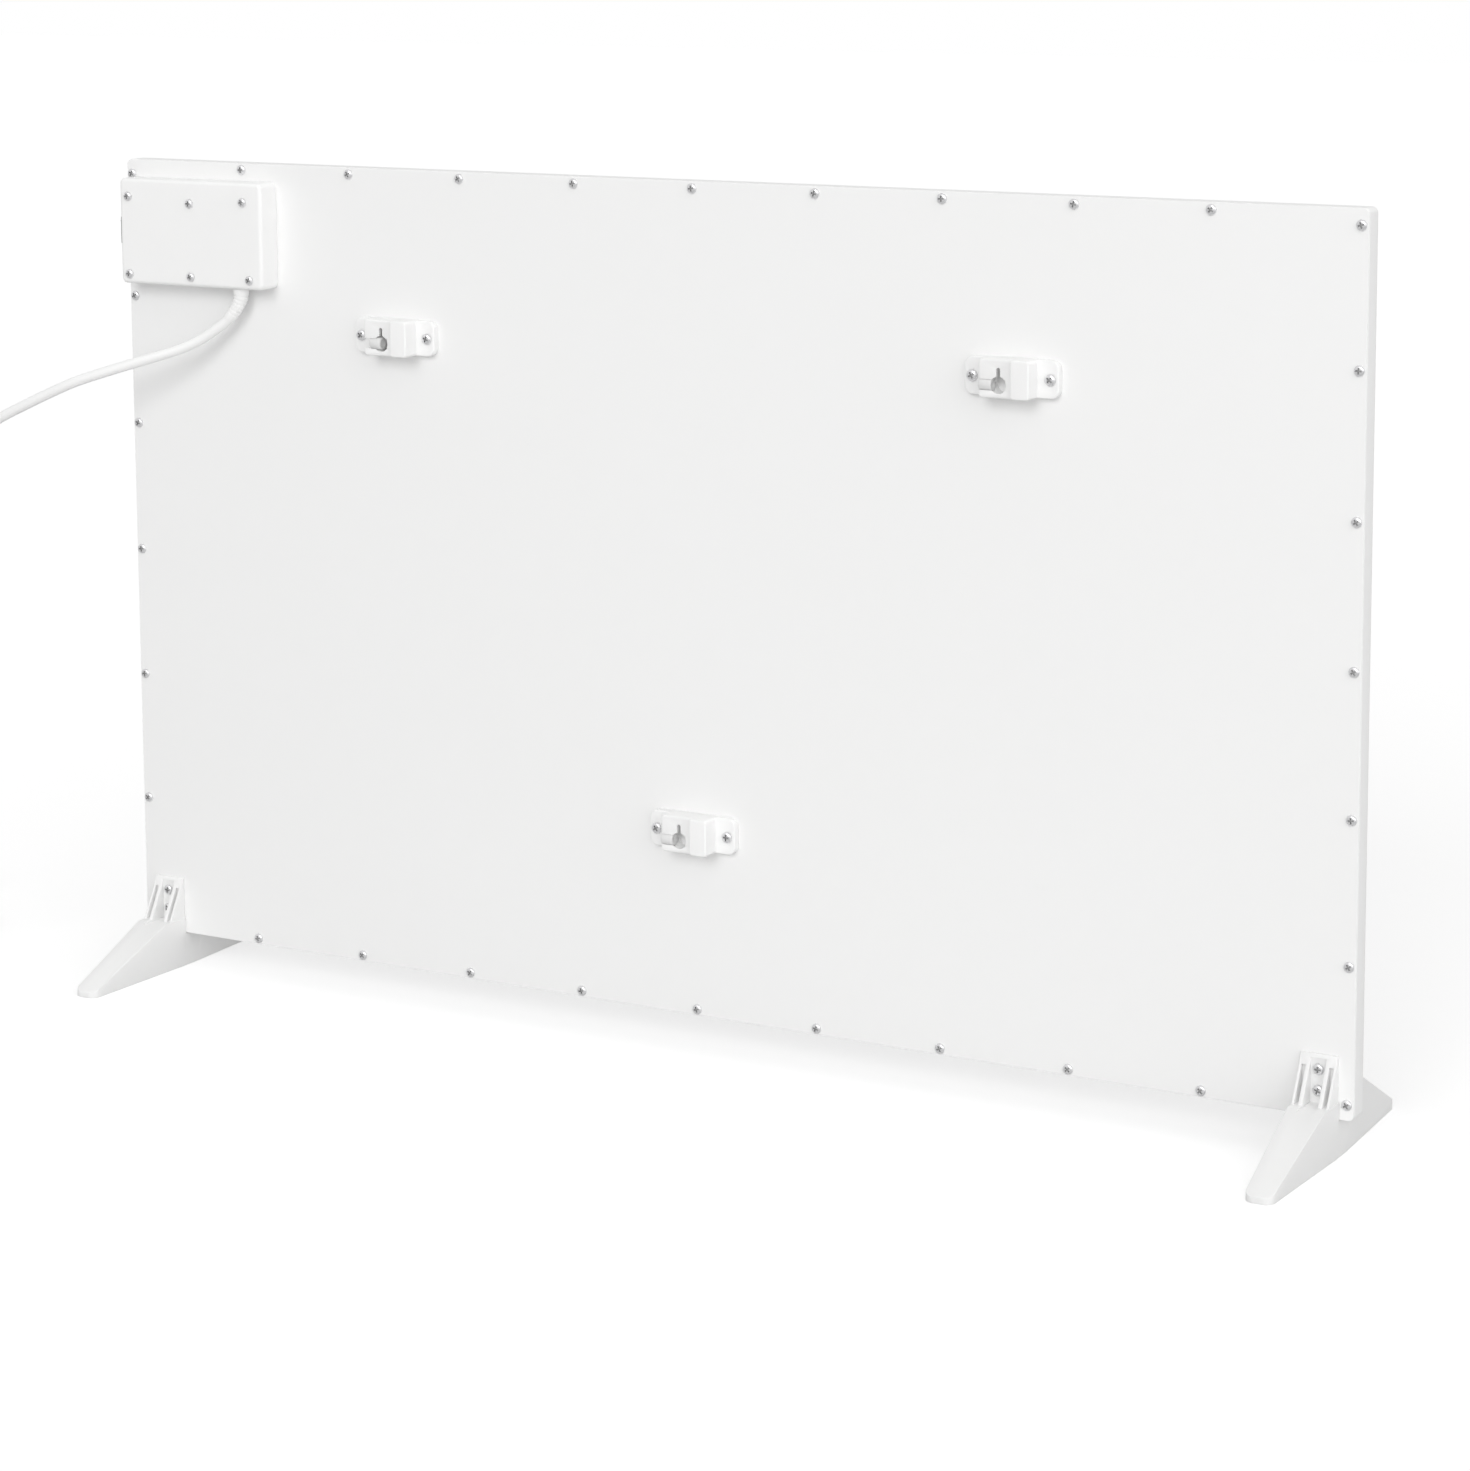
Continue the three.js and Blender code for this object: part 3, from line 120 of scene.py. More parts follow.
def loft(name: str, rings: Sequence[Sequence[Vector]]) -> bpy.types.Object:
    """Skins rings that have the same number of points, and caps both ends.

    Args:
        name: Name of the object and its mesh.
        rings: Rings in order, in millimetres.

    Returns:
        The closed object in metres, at the origin, with its faces outwards.
    """
    bm = bmesh.new()
    rows = [[bm.verts.new(p) for p in ring] for ring in rings]
    count = len(rows[0])
    bm.faces.new(rows[0])
    bm.faces.new(rows[-1])
    for low, high in zip(rows, rows[1:]):
        for i in range(count):
            j = (i + 1) % count
            bm.faces.new((low[i], low[j], high[j], high[i]))
    bmesh.ops.remove_doubles(bm, verts=bm.verts, dist=WELD)
    bmesh.ops.recalc_face_normals(bm, faces=bm.faces)
    bmesh.ops.scale(bm, vec=(MM, MM, MM), verts=bm.verts)
    mesh = bpy.data.meshes.new(name)
    bm.to_mesh(mesh)
    bm.free()
    return link(name, mesh)


def prism(name: str, outline: Sequence[Point2], span: Point2, axis: Axis) -> bpy.types.Object:
    """Makes an outline solid between two values along an axis."""
    return loft(name, [[axis.place(a, b, at) for a, b in outline] for at in span])


def block(x: Point2, y: Point2, z: Point2) -> bpy.types.Object:
    """Block between two limits on each axis, used as a tool."""
    outline = [(x[0], y[0]), (x[1], y[0]), (x[1], y[1]), (x[0], y[1])]
    return prism("tool", outline, z, Axis.Z)


def around(centre: float, half: float) -> Point2:
    """Limits at the same distance on both sides of a centre."""
    return centre - half, centre + half


def circle(radius: float, sides: int, centre: Point2 = (0.0, 0.0)) -> list[Point2]:
    """Points of a circle, anticlockwise."""
    turns = [2 * math.pi * i / sides for i in range(sides)]
    return [(centre[0] + radius * math.cos(a), centre[1] + radius * math.sin(a)) for a in turns]


def arc(radius: float, centre: Point2, start: float, steps: int) -> list[Point2]:
    """Points of a quarter of a circle, from a start in degrees, anticlockwise."""
    turns = [math.radians(start + 90 * i / steps) for i in range(steps + 1)]
    return [(centre[0] + radius * math.cos(a), centre[1] + radius * math.sin(a)) for a in turns]


def rounded(x: Point2, z: Point2, radius: float, steps: int = 8) -> list[Point2]:
    """Outline of a rectangle with round corners.

    Args:
        x: Limits of the first coordinate.
        z: Limits of the second coordinate.
        radius: Corner radius.
        steps: Sides in each corner.

    Returns:
        Points anticlockwise, the same number whatever the radius.
    """
    r = max(radius, LEAST_RADIUS)
    centres = [
        ((x[1] - r, z[0] + r), -90),
        ((x[1] - r, z[1] - r), 0),
        ((x[0] + r, z[1] - r), 90),
        ((x[0] + r, z[0] + r), 180),
    ]
    return [point for centre, start in centres for point in arc(r, centre, start, steps)]


def quarter(radius: float, steps: int = 6) -> list[Point2]:
    """Inset and setback of a rounded edge, from the wall to the face that it leads to."""
    turns = [math.pi / 2 * i / steps for i in range(steps + 1)]
    return [(radius * (1 - math.cos(a)), radius * (1 - math.sin(a))) for a in turns]


@dataclass(frozen=True)
class Plan:
    """Rectangle with round corners, in millimetres, that rings are drawn in from."""

    x: Point2
    z: Point2
    corner: float
    least_corner: float = LEAST_RADIUS

    def ring(self, inset: float, at: float, axis: Axis = Axis.Y) -> list[Vector]:
        """Ring at an inset and at a place along an axis."""
        x = (self.x[0] + inset, self.x[1] - inset)
        z = (self.z[0] + inset, self.z[1] - inset)
        outline = rounded(x, z, max(self.corner - inset, self.least_corner))
        return [axis.place(a, b, at) for a, b in outline]


def pillow(name: str, plan: Plan, span: Point2, edge: float, axis: Axis = Axis.Y) -> bpy.types.Object:
    """Block that stands on the first value of its span and is rounded towards the second."""
    rings = [plan.ring(0, span[0], axis)]
    rings += [plan.ring(inset, span[1] - back, axis) for inset, back in quarter(edge)]
    return loft(name, rings)


def bar(
    radius: float, span: Point2, centre: Point2, axis: Axis, sides: int = 24
) -> bpy.types.Object:
    """Round bar along an axis, used as a tool."""
    return prism("tool", circle(radius, sides, centre), span, axis)


def turned(
    name: str, profile: Sequence[Point2], place: Sequence[float], axis: Axis, sides: int = 48
) -> bpy.types.Object:
    """Body of revolution.

    Args:
        name: Name of the object.
        profile: Radius and distance along the axis, from one end to the other.
        place: Where the axis starts.
        axis: Direction of the axis.
        sides: Points in each ring.

    Returns:
        The closed object.
    """
    start = Vector(place)
    rings = []
    for radius, along in profile:
        rings.append([axis.place(a, b, along) + start for a, b in circle(radius, sides)])
    return loft(name, rings)


def swept(
    name: str, path: Sequence[Vector], radius_at: Callable[[float], float], sides: int = 48
) -> bpy.types.Object:
    """Round piece along a line of points, with a radius that depends on the share of its length."""
    lengths = [0.0]
    for a, b in zip(path, path[1:]):
        lengths.append(lengths[-1] + (b - a).length)
    rings = []
    side = Vector((1, 0, 0))
    for i, centre in enumerate(path):
        along = (path[min(i + 1, len(path) - 1)] - path[max(i - 1, 0)]).normalized()
        side = (side - side.dot(along) * along).normalized()
        other = along.cross(side)
        ring = circle(radius_at(lengths[i] / lengths[-1]), sides)
        rings.append([centre + a * side + b * other for a, b in ring])
    return loft(name, rings)


def settle(piece: bpy.types.Object) -> bpy.types.Object:
    """Applies the modifiers of a piece to its mesh."""
    graph = bpy.context.evaluated_depsgraph_get()
    mesh = bpy.data.meshes.new_from_object(piece.evaluated_get(graph), depsgraph=graph)
    old = piece.data
    piece.modifiers.clear()
    piece.data = mesh
    mesh.name = piece.name
    bpy.data.meshes.remove(old)
    return piece


def combine(piece: bpy.types.Object, tools: Iterable[bpy.types.Object], how: Join) -> None:
    """Joins tools to a piece, cuts them off it or keeps what they share with it.

    Args:
        piece: Closed piece, which gets the new mesh.
        tools: Closed tools. They are removed.
        how: What the tools do.
    """
    tools = list(tools)
    for tool in tools:
        modifier = piece.modifiers.new("cut", "BOOLEAN")
        modifier.operation = how.value
        modifier.object = tool
        modifier.solver = "EXACT"
    settle(piece)
    for tool in tools:
        bpy.data.objects.remove(tool)


def soften(
    piece: bpy.types.Object, width: float = 0.0, segments: int = 2, angle: float = 40
) -> bpy.types.Object:
    """Rounds the sharp edges of a piece and shades it smooth.

    Args:
        piece: Closed piece.
        width: Width of the rounding in millimetres, or nothing for none.
        segments: Faces across the rounding.
        angle: Least angle in degrees that counts as an edge.

    Returns:
        The same piece.
    """
    if width:
        modifier = piece.modifiers.new("edges", "BEVEL")
        modifier.width = width * MM
        modifier.segments = segments
        modifier.limit_method = "ANGLE"
        modifier.angle_limit = math.radians(angle)
        modifier.miter_outer = "MITER_ARC"
        settle(piece)
    piece.data.shade_smooth()
    piece.data.set_sharp_from_angle(angle=math.radians(angle))
    return piece


def shift(piece: bpy.types.Object, x: float, y: float, z: float) -> None:
    """Moves a piece's mesh, in millimetres."""
    piece.data.transform(Matrix.Translation(Vector((x, y, z)) * MM))


# ---------------------------------------------------------------------------
# Shader node groups and finishes
# ---------------------------------------------------------------------------


class Graph:
    """Short way of adding and linking nodes in one node tree."""

    def __init__(self, tree: bpy.types.NodeTree) -> None:
        """Keeps the tree that nodes are added to."""
        self.tree = tree

    def add(self, kind: str, inputs: dict[str | int, Any] | None = None, **settings: Any) -> Any:
        """Adds a node.

        Args:
            kind: Blender's name of the node's type.
            inputs: Value or output socket for each input, by name or number.
            settings: The node's own settings.

        Returns:
            The node.
        """
        node = self.tree.nodes.new(kind)
        for name, value in settings.items():
            setattr(node, name, value)
        for key, value in (inputs or {}).items():
            if isinstance(value, bpy.types.NodeSocket):
                self.link(value, node.inputs[key])
            else:
                node.inputs[key].default_value = value
        return node

    def link(self, source: Any, target: Any) -> None:
        """Links an output socket to an input socket."""
        self.tree.links.new(source, target)

    def math(self, operation: str, *values: Any, clamp: bool = False) -> Any:
        """Adds a Math node and returns its output."""
        inputs = dict(enumerate(values))
        return self.add("ShaderNodeMath", inputs, operation=operation, use_clamp=clamp).outputs[0]

    def noise(self, vector: Any, scale: Any, detail: float, roughness: float = 0.5) -> Any:
        """Adds a noise texture and returns its value."""
        inputs = {"Vector": vector, "Scale": scale, "Detail": detail, "Roughness": roughness}
        return self.add("ShaderNodeTexNoise", inputs).outputs["Fac"]

    def cells(self, vector: Any, scale: Any) -> Any:
        """Adds a Voronoi texture and returns its distance."""
        return self.add("ShaderNodeTexVoronoi", {"Vector": vector, "Scale": scale}).outputs["Distance"]

    def vector(self, **parts: Any) -> Any:
        """Makes a vector of its X, Y and Z and returns it."""
        return self.add("ShaderNodeCombineXYZ", parts).outputs[0]

    def mix(self, factor: Any, first: Any, second: Any) -> Any:
        """Mixes two colours and returns the output."""
        node = self.add("ShaderNodeMix", {0: factor, 6: first, 7: second}, data_type="RGBA")
        return node.outputs[2]


def group(
    name: str, inputs: Sequence[tuple[str, str, Any]], outputs: Sequence[tuple[str, str]]
) -> tuple[Graph, Any, Any]:
    """Makes an empty shader node group.

    Args:
        name: Name of the group.
        inputs: Name, socket kind and value of each input.
        outputs: Name and socket kind of each output.

    Returns:
        The graph of the group, what comes into it and what goes out of it.
    """
    tree = bpy.data.node_groups.new(name, "ShaderNodeTree")
    for label, kind, value in inputs:
        socket = tree.interface.new_socket(label, in_out="INPUT", socket_type=f"NodeSocket{kind}")
        if value is not None:
            socket.default_value = value
    for label, kind in outputs:
        tree.interface.new_socket(label, in_out="OUTPUT", socket_type=f"NodeSocket{kind}")
    graph = Graph(tree)
    return graph, graph.add("NodeGroupInput").outputs, graph.add("NodeGroupOutput").inputs


class Effects:
    """Shader node groups that several finishes share.

    A line is the slope and offset that turn a value into a mask between nothing and one.
    """

    CLOUD_LINE = (1.7, -0.45)
    DUST_LINE = (6.0, -3.9)
    EDGE_LINE = (-8.0, 8.0)
    BREAK_LINE = (2.4, -0.7)
    SPECKS_PER_CLOUD = 37.0
    DUST_SHARE = 0.8
    WAVES_PER_GRAIN = 0.012
    BREAK_SCALE = 140.0

    def __init__(self) -> None:
        """Builds each group once."""
        self.tone = self._tone()
        self.grain = self._grain()
        self.rub = self._rub()

    def _tone(self) -> bpy.types.NodeTree:
        """Slow drift of colour and gloss over a surface, with a few fine specks of dust."""
        graph, start, end = group(
            "tone_drift",
            [
                ("Vector", "Vector", None),
                ("Clean", "Color", (0.8, 0.8, 0.8, 1)),
                ("Soiled", "Color", (0.7, 0.7, 0.7, 1)),
                ("Scale", "Float", 4.0),
                ("Amount", "Float", 0.5),
                ("Roughness", "Float", 0.5),
                ("Spread", "Float", 0.08),
            ],
            [("Color", "Color"), ("Roughness", "Float")],
        )
        cloud = graph.noise(start["Vector"], start["Scale"], 5.0, 0.62)
        fine_scale = graph.math("MULTIPLY", start["Scale"], self.SPECKS_PER_CLOUD)
        specks = graph.noise(start["Vector"], fine_scale, 2.0)
        drift = graph.math("MULTIPLY_ADD", cloud, *self.CLOUD_LINE, clamp=True)
        dust = graph.math("MULTIPLY_ADD", specks, *self.DUST_LINE, clamp=True)
        share = graph.math("MAXIMUM", drift, graph.math("MULTIPLY", dust, self.DUST_SHARE))
        share = graph.math("MULTIPLY", share, start["Amount"])
        colour = graph.mix(share, start["Clean"], start["Soiled"])
        offset = graph.math("SUBTRACT", cloud, 0.5)
        rough = graph.math("MULTIPLY_ADD", offset, start["Spread"], start["Roughness"])
        graph.link(colour, end["Color"])
        graph.link(rough, end["Roughness"])
        return graph.tree

    def _grain(self) -> bpy.types.NodeTree:
        """Height of a moulded or painted surface: fine pits or peel over long soft waves."""
        graph, start, end = group(
            "skin_grain",
            [
                ("Vector", "Vector", None),
                ("Scale", "Float", 900.0),
                ("Pits", "Float", 0.5),
                ("Waves", "Float", 0.2),
            ],
            [("Height", "Float")],
        )
        fine = graph.noise(start["Vector"], start["Scale"], 3.0, 0.55)
        cells = graph.cells(start["Vector"], start["Scale"])
        slow_scale = graph.math("MULTIPLY", start["Scale"], self.WAVES_PER_GRAIN)
        slow = graph.noise(start["Vector"], slow_scale, 1.0)
        pitted = graph.math("MULTIPLY", cells, start["Pits"])
        height = graph.math("ADD", fine, pitted)
        height = graph.math("ADD", height, graph.math("MULTIPLY", slow, start["Waves"]))
        graph.link(height, end["Height"])
        return graph.tree

    def _rub(self) -> bpy.types.NodeTree:
        """Mask of the outer edges that hands and packing rub smooth, broken up by noise."""
        graph, start, end = group(
            "edge_rub",
            [("Vector", "Vector", None), ("Reach", "Float", 0.0008), ("Amount", "Float", 0.5)],
            [("Mask", "Float")],
        )
        soft = graph.add("ShaderNodeBevel", {"Radius": start["Reach"]}, samples=4).outputs["Normal"]
        flat = graph.add("ShaderNodeNewGeometry").outputs["Normal"]
        normals = {0: soft, 1: flat}
        dot = graph.add("ShaderNodeVectorMath", normals, operation="DOT_PRODUCT").outputs["Value"]
        edge = graph.math("MULTIPLY_ADD", dot, *self.EDGE_LINE, clamp=True)
        noise = graph.noise(start["Vector"], self.BREAK_SCALE, 3.0)
        broken = graph.math("MULTIPLY_ADD", noise, *self.BREAK_LINE, clamp=True)
        mask = graph.math("MULTIPLY", graph.math("MULTIPLY", edge, broken), start["Amount"])
        graph.link(mask, end["Mask"])
        return graph.tree


class Pattern(Enum):
    """Structure that a finish shows besides its grain."""

    NONE = "none"
    TURNED = "turned"
    BRUSHED = "brushed"
    FIBRE = "fibre"
    CRINKLED = "crinkled"
    TRACKS = "tracks"
    STRANDS = "strands"


@dataclass(frozen=True)
class Finish:
    """One surface finish: its colours, gloss, grain, structure and wear."""

    name: str
    clean: Colour
    soiled: Colour
    roughness: float
    metallic: float = 0.0
    drift_scale: float = 5.0
    drift: float = 0.35
    gloss_spread: float = 0.1
    grain_scale: float = 1400.0
    pits: float = 0.4
    waves: float = 0.3
    depth: float = 0.00002
    rubbed: Colour | None = None
    rub: float = 0.0
    polish: float = 0.15
    coat: float = 0.0
    pattern: Pattern = Pattern.NONE
    pattern_scale: float = 100.0
    pattern_depth: float = 0.0001
    pattern_shade: float = 0.55
    pattern_share: float = 0.35

    def build(self, effects: Effects) -> bpy.types.Material:
        """Makes the material.

        Args:
            effects: Shared shader node groups.

        Returns:
            A node material on Object coordinates.
        """
        material = bpy.data.materials.new(self.name)
        material.use_nodes = True
        graph = Graph(material.node_tree)
        shader = material.node_tree.nodes["Principled BSDF"]
        place = graph.add("ShaderNodeTexCoord").outputs["Object"]
        tone = graph.add(
            "ShaderNodeGroup",
            {
                "Vector": place,
                "Clean": (*self.clean, 1),
                "Soiled": (*self.soiled, 1),
                "Scale": self.drift_scale,
                "Amount": self.drift,
                "Roughness": self.roughness,
                "Spread": self.gloss_spread,
            },
            node_tree=effects.tone,
        )
        colour, rough = tone.outputs["Color"], tone.outputs["Roughness"]
        grain = graph.add(
            "ShaderNodeGroup",
            {"Vector": place, "Scale": self.grain_scale, "Pits": self.pits, "Waves": self.waves},
            node_tree=effects.grain,
        )
        bump = graph.add("ShaderNodeBump", {"Height": grain.outputs["Height"], "Distance": self.depth})
        if self.pattern is not Pattern.NONE:
            height, colour = self._structure(graph, place, colour)
            bump = graph.add(
                "ShaderNodeBump",
                {"Height": height, "Distance": self.pattern_depth, "Normal": bump.outputs["Normal"]},
            )
        if self.rubbed:
            inputs = {"Vector": place, "Amount": self.rub}
            mask = graph.add("ShaderNodeGroup", inputs, node_tree=effects.rub).outputs["Mask"]
            colour = graph.mix(mask, colour, (*self.rubbed, 1))
            rough = graph.math("MULTIPLY_ADD", mask, -self.polish, rough)
        graph.link(colour, shader.inputs["Base Color"])
        graph.link(rough, shader.inputs["Roughness"])
        graph.link(bump.outputs["Normal"], shader.inputs["Normal"])
        shader.inputs["Metallic"].default_value = self.metallic
        shader.inputs["Coat Weight"].default_value = self.coat
        material.diffuse_color = (*self.clean, 1)
        return material

    def _structure(self, graph: Graph, place: Any, colour: Any) -> tuple[Any, Any]:
        """Adds the pattern's nodes.

        Args:
            graph: Graph of the material.
            place: Object coordinates.
            colour: Colour so far.

        Returns:
            Height for a bump, and the colour with the pattern in it.
        """
        dark = tuple(self.pattern_shade * c for c in self.clean)
        stretch = {
            Pattern.BRUSHED: (1, 40, 40),
            Pattern.TURNED: (30, 1, 30),
            Pattern.STRANDS: (60, 60, 6),
        }.get(self.pattern, (1, 1, 1))
        mapped = graph.add("ShaderNodeMapping", {"Vector": place, "Scale": stretch}).outputs["Vector"]
        if self.pattern is Pattern.TRACKS:
            upright = graph.add("ShaderNodeMapping", {"Vector": place, "Rotation": (math.pi / 2, 0, 0)})
            tracks = {"Vector": upright.outputs["Vector"], "Scale": self.pattern_scale, "Mortar Size": 0.12}
            value = graph.add("ShaderNodeTexBrick", tracks).outputs["Fac"]
        elif self.pattern is Pattern.CRINKLED:
            value = graph.cells(mapped, self.pattern_scale)
        else:
            value = graph.noise(mapped, self.pattern_scale, 4.0)
        share = graph.math("MULTIPLY", value, self.pattern_share)
        return value, graph.mix(share, colour, (*dark, 1))


ALL_FINISHES = (
    Finish(
        "white_paint", (0.90, 0.90, 0.897), (0.868, 0.866, 0.858), 0.42, drift_scale=3.0, drift=0.3,
        grain_scale=700, pits=0.15, waves=0.6, depth=0.00003, coat=0.05,
    ),
    Finish(
        "white_moulding", (0.915, 0.915, 0.912), (0.872, 0.870, 0.862), 0.46, drift_scale=9.0, drift=0.4,
        grain_scale=2600, pits=0.8, waves=0.1, depth=0.000025, rubbed=(0.93, 0.93, 0.93), rub=0.6,
    ),
    # Darker copy of the white moulding for the feet: painted shade, as the feet are the same white plastic
    # and are darker only because of how light falls.
    Finish(
        "foot_moulding_painted_shade", (0.865, 0.865, 0.862), (0.82, 0.818, 0.81), 0.48, drift_scale=7.0, drift=0.45,
        grain_scale=2600, pits=0.8, waves=0.1, depth=0.000025, rubbed=(0.9, 0.9, 0.9), rub=0.5,
    ),
    Finish(
        "white_cord", (0.90, 0.90, 0.897), (0.85, 0.847, 0.838), 0.4, drift_scale=14.0, drift=0.5,
        grain_scale=1500, pits=0.3, waves=1.5, depth=0.00004,
    ),
    Finish(
        "zinc", (0.88, 0.88, 0.89), (0.7, 0.7, 0.71), 0.3, metallic=0.95, drift_scale=160.0, drift=0.6,
        gloss_spread=0.3, grain_scale=3000, depth=0.00001, rubbed=(0.95, 0.95, 0.95), rub=0.9,
        pattern=Pattern.TURNED, pattern_scale=60, pattern_depth=0.00001,
    ),
    # Dark grey of the screws' cross recesses: painted shade for the shade that falls in them, as the
    # recesses are the same zinc as the heads.
    Finish(
        "screw_recess_painted_shade", (0.5, 0.5, 0.503), (0.32, 0.32, 0.32), 0.45, metallic=0.7, drift_scale=300.0,
        drift=0.6,
    ),
    Finish(
        "copper", (0.78, 0.42, 0.26), (0.45, 0.22, 0.13), 0.32, metallic=1.0, drift_scale=18.0, drift=0.6,
        pattern=Pattern.BRUSHED, pattern_scale=25, pattern_depth=0.00002,
    ),
    Finish(
        "nickel", (0.72, 0.69, 0.62), (0.5, 0.47, 0.42), 0.25, metallic=1.0, drift_scale=60.0, drift=0.5,
        pattern=Pattern.TURNED, pattern_scale=50, pattern_depth=0.00001,
    ),
    Finish(
        "carbon_film", (0.03, 0.03, 0.032), (0.055, 0.055, 0.055), 0.5, drift_scale=12.0, drift=0.6,
        pattern=Pattern.TRACKS, pattern_scale=20, pattern_depth=0.0001,
    ),
    Finish(
        "aluminium_foil", (0.82, 0.83, 0.84), (0.6, 0.61, 0.62), 0.28, metallic=1.0, drift_scale=10.0,
        drift=0.4, pattern=Pattern.CRINKLED, pattern_scale=55, pattern_depth=0.0006,
    ),
    Finish(
        "mineral_board", (0.69, 0.64, 0.54), (0.52, 0.47, 0.38), 0.95, drift_scale=20.0, drift=0.8,
        grain_scale=500, depth=0.0003, pattern=Pattern.FIBRE, pattern_scale=260, pattern_depth=0.0004,
    ),
    Finish(
        "circuit_board", (0.03, 0.12, 0.05), (0.02, 0.07, 0.03), 0.35, drift_scale=60.0, drift=0.5,
        pattern=Pattern.TRACKS, pattern_scale=90, pattern_depth=0.00005, coat=0.3,
    ),
    Finish(
        "relay_blue", (0.03, 0.08, 0.2), (0.02, 0.05, 0.12), 0.3, drift_scale=70.0, coat=0.15,
    ),
    # Darker copy of the white moulding for the locking pins: painted shade for the shade they lie in, as
    # they are the same white plastic.
    Finish(
        "pin_moulding_painted_shade", (0.76, 0.76, 0.757), (0.69, 0.688, 0.68), 0.4, drift_scale=40.0, drift=0.5,
        grain_scale=2600, pits=0.6, depth=0.00002, rubbed=(0.84, 0.84, 0.84), rub=0.6,
    ),
    Finish("terminal_grey", (0.58, 0.58, 0.57), (0.48, 0.48, 0.46), 0.5, drift_scale=50.0),
    Finish("black_rubber", (0.02, 0.02, 0.02), (0.05, 0.05, 0.048), 0.75, drift_scale=90.0),
    Finish(
        "lead_sleeve", (0.44, 0.04, 0.025), (0.3, 0.03, 0.02), 0.45, drift_scale=80.0,
        pattern=Pattern.STRANDS, pattern_scale=12, pattern_depth=0.0001,
    ),
    Finish(
        "switch_black", (0.018, 0.018, 0.019), (0.05, 0.05, 0.048), 0.32, drift_scale=60.0, drift=0.5,
        grain_scale=3000, rubbed=(0.09, 0.09, 0.09), rub=0.7, coat=0.1,
    ),
)
FINISHES = {finish.name: finish for finish in ALL_FINISHES}


class Paint:
    """Materials by the name of their slot, each built when it is first asked for."""

    def __init__(self) -> None:
        """Builds the shared effects."""
        self.effects = Effects()
        self.made: dict[str, bpy.types.Material] = {}

    def get(self, slot: str) -> bpy.types.Material:
        """Material of a slot."""
        if slot not in self.made:
            self.made[slot] = FINISHES[slot].build(self.effects)
        return self.made[slot]

    def dress(self, piece: bpy.types.Object, slot: str, finish: str = "") -> bpy.types.Object:
        """Gives a piece one material in each of its material slots, adding a slot first if it has none.

        Args:
            piece: New piece or CAD node.
            slot: Name of the record's material slot.
            finish: Name of the finish, if it isn't the slot's own.

        Returns:
            The same piece.
        """
        if not piece.material_slots:
            piece.data.materials.append(None)
        for holder in piece.material_slots:
            holder.material = self.get(finish or slot)
        return piece


@dataclass
class Part:
    """What every sub-assembly has: the frame's nodes and the paint."""

    nodes: dict[str, bpy.types.Object]
    paint: Paint

    def add(
        self,
        piece: bpy.types.Object,
        slot: str,
        stands_for: Sequence[str] = (),
        body: str = HEATER,
        finish: str = "",
    ) -> bpy.types.Object:
        """Dresses a new piece and hands it to its body.

        Args:
            piece: Piece in place, in the part frame.
            slot: Name of its material slot.
            stands_for: CAD nodes that it replaces.
            body: Body that it rides on.
            finish: Name of the finish, if it isn't the slot's own.

        Returns:
            The same piece.
        """
        if piece.data.materials:
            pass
        else:
            self.paint.dress(piece, slot, finish)
        if stands_for:
            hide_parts(*stands_for)
        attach(piece, body)
        LOG.info("%s on %s, %d faces", piece.name, body, len(getattr(piece.data, "polygons", ())))
        return piece

    def keep(self, slot: str, *names: str) -> None:
        """Gives CAD nodes that stay a material of their own."""
        for name in names:
            self.paint.dress(self.nodes[name], slot)


# ---------------------------------------------------------------------------
# Camera, floor and light
# ---------------------------------------------------------------------------


@dataclass(frozen=True)
class KeyLight:
    """Wide, far key light, whose shadows are as soft and as low as the photograph's."""

    towards: Point3 = (-0.1, 1.0, 0.5)
    angle: float = 30.0
    strength: float = 0.915

    def hang(self) -> None:
        """Adds the light to the scene."""
        data = bpy.data.lights.new("key_light", "SUN")
        data.angle = math.radians(self.angle)
        data.energy = self.strength
        turn = Vector(self.towards).to_track_quat("Z", "Y")
        link("key_light", data).matrix_world = turn.to_matrix().to_4x4()


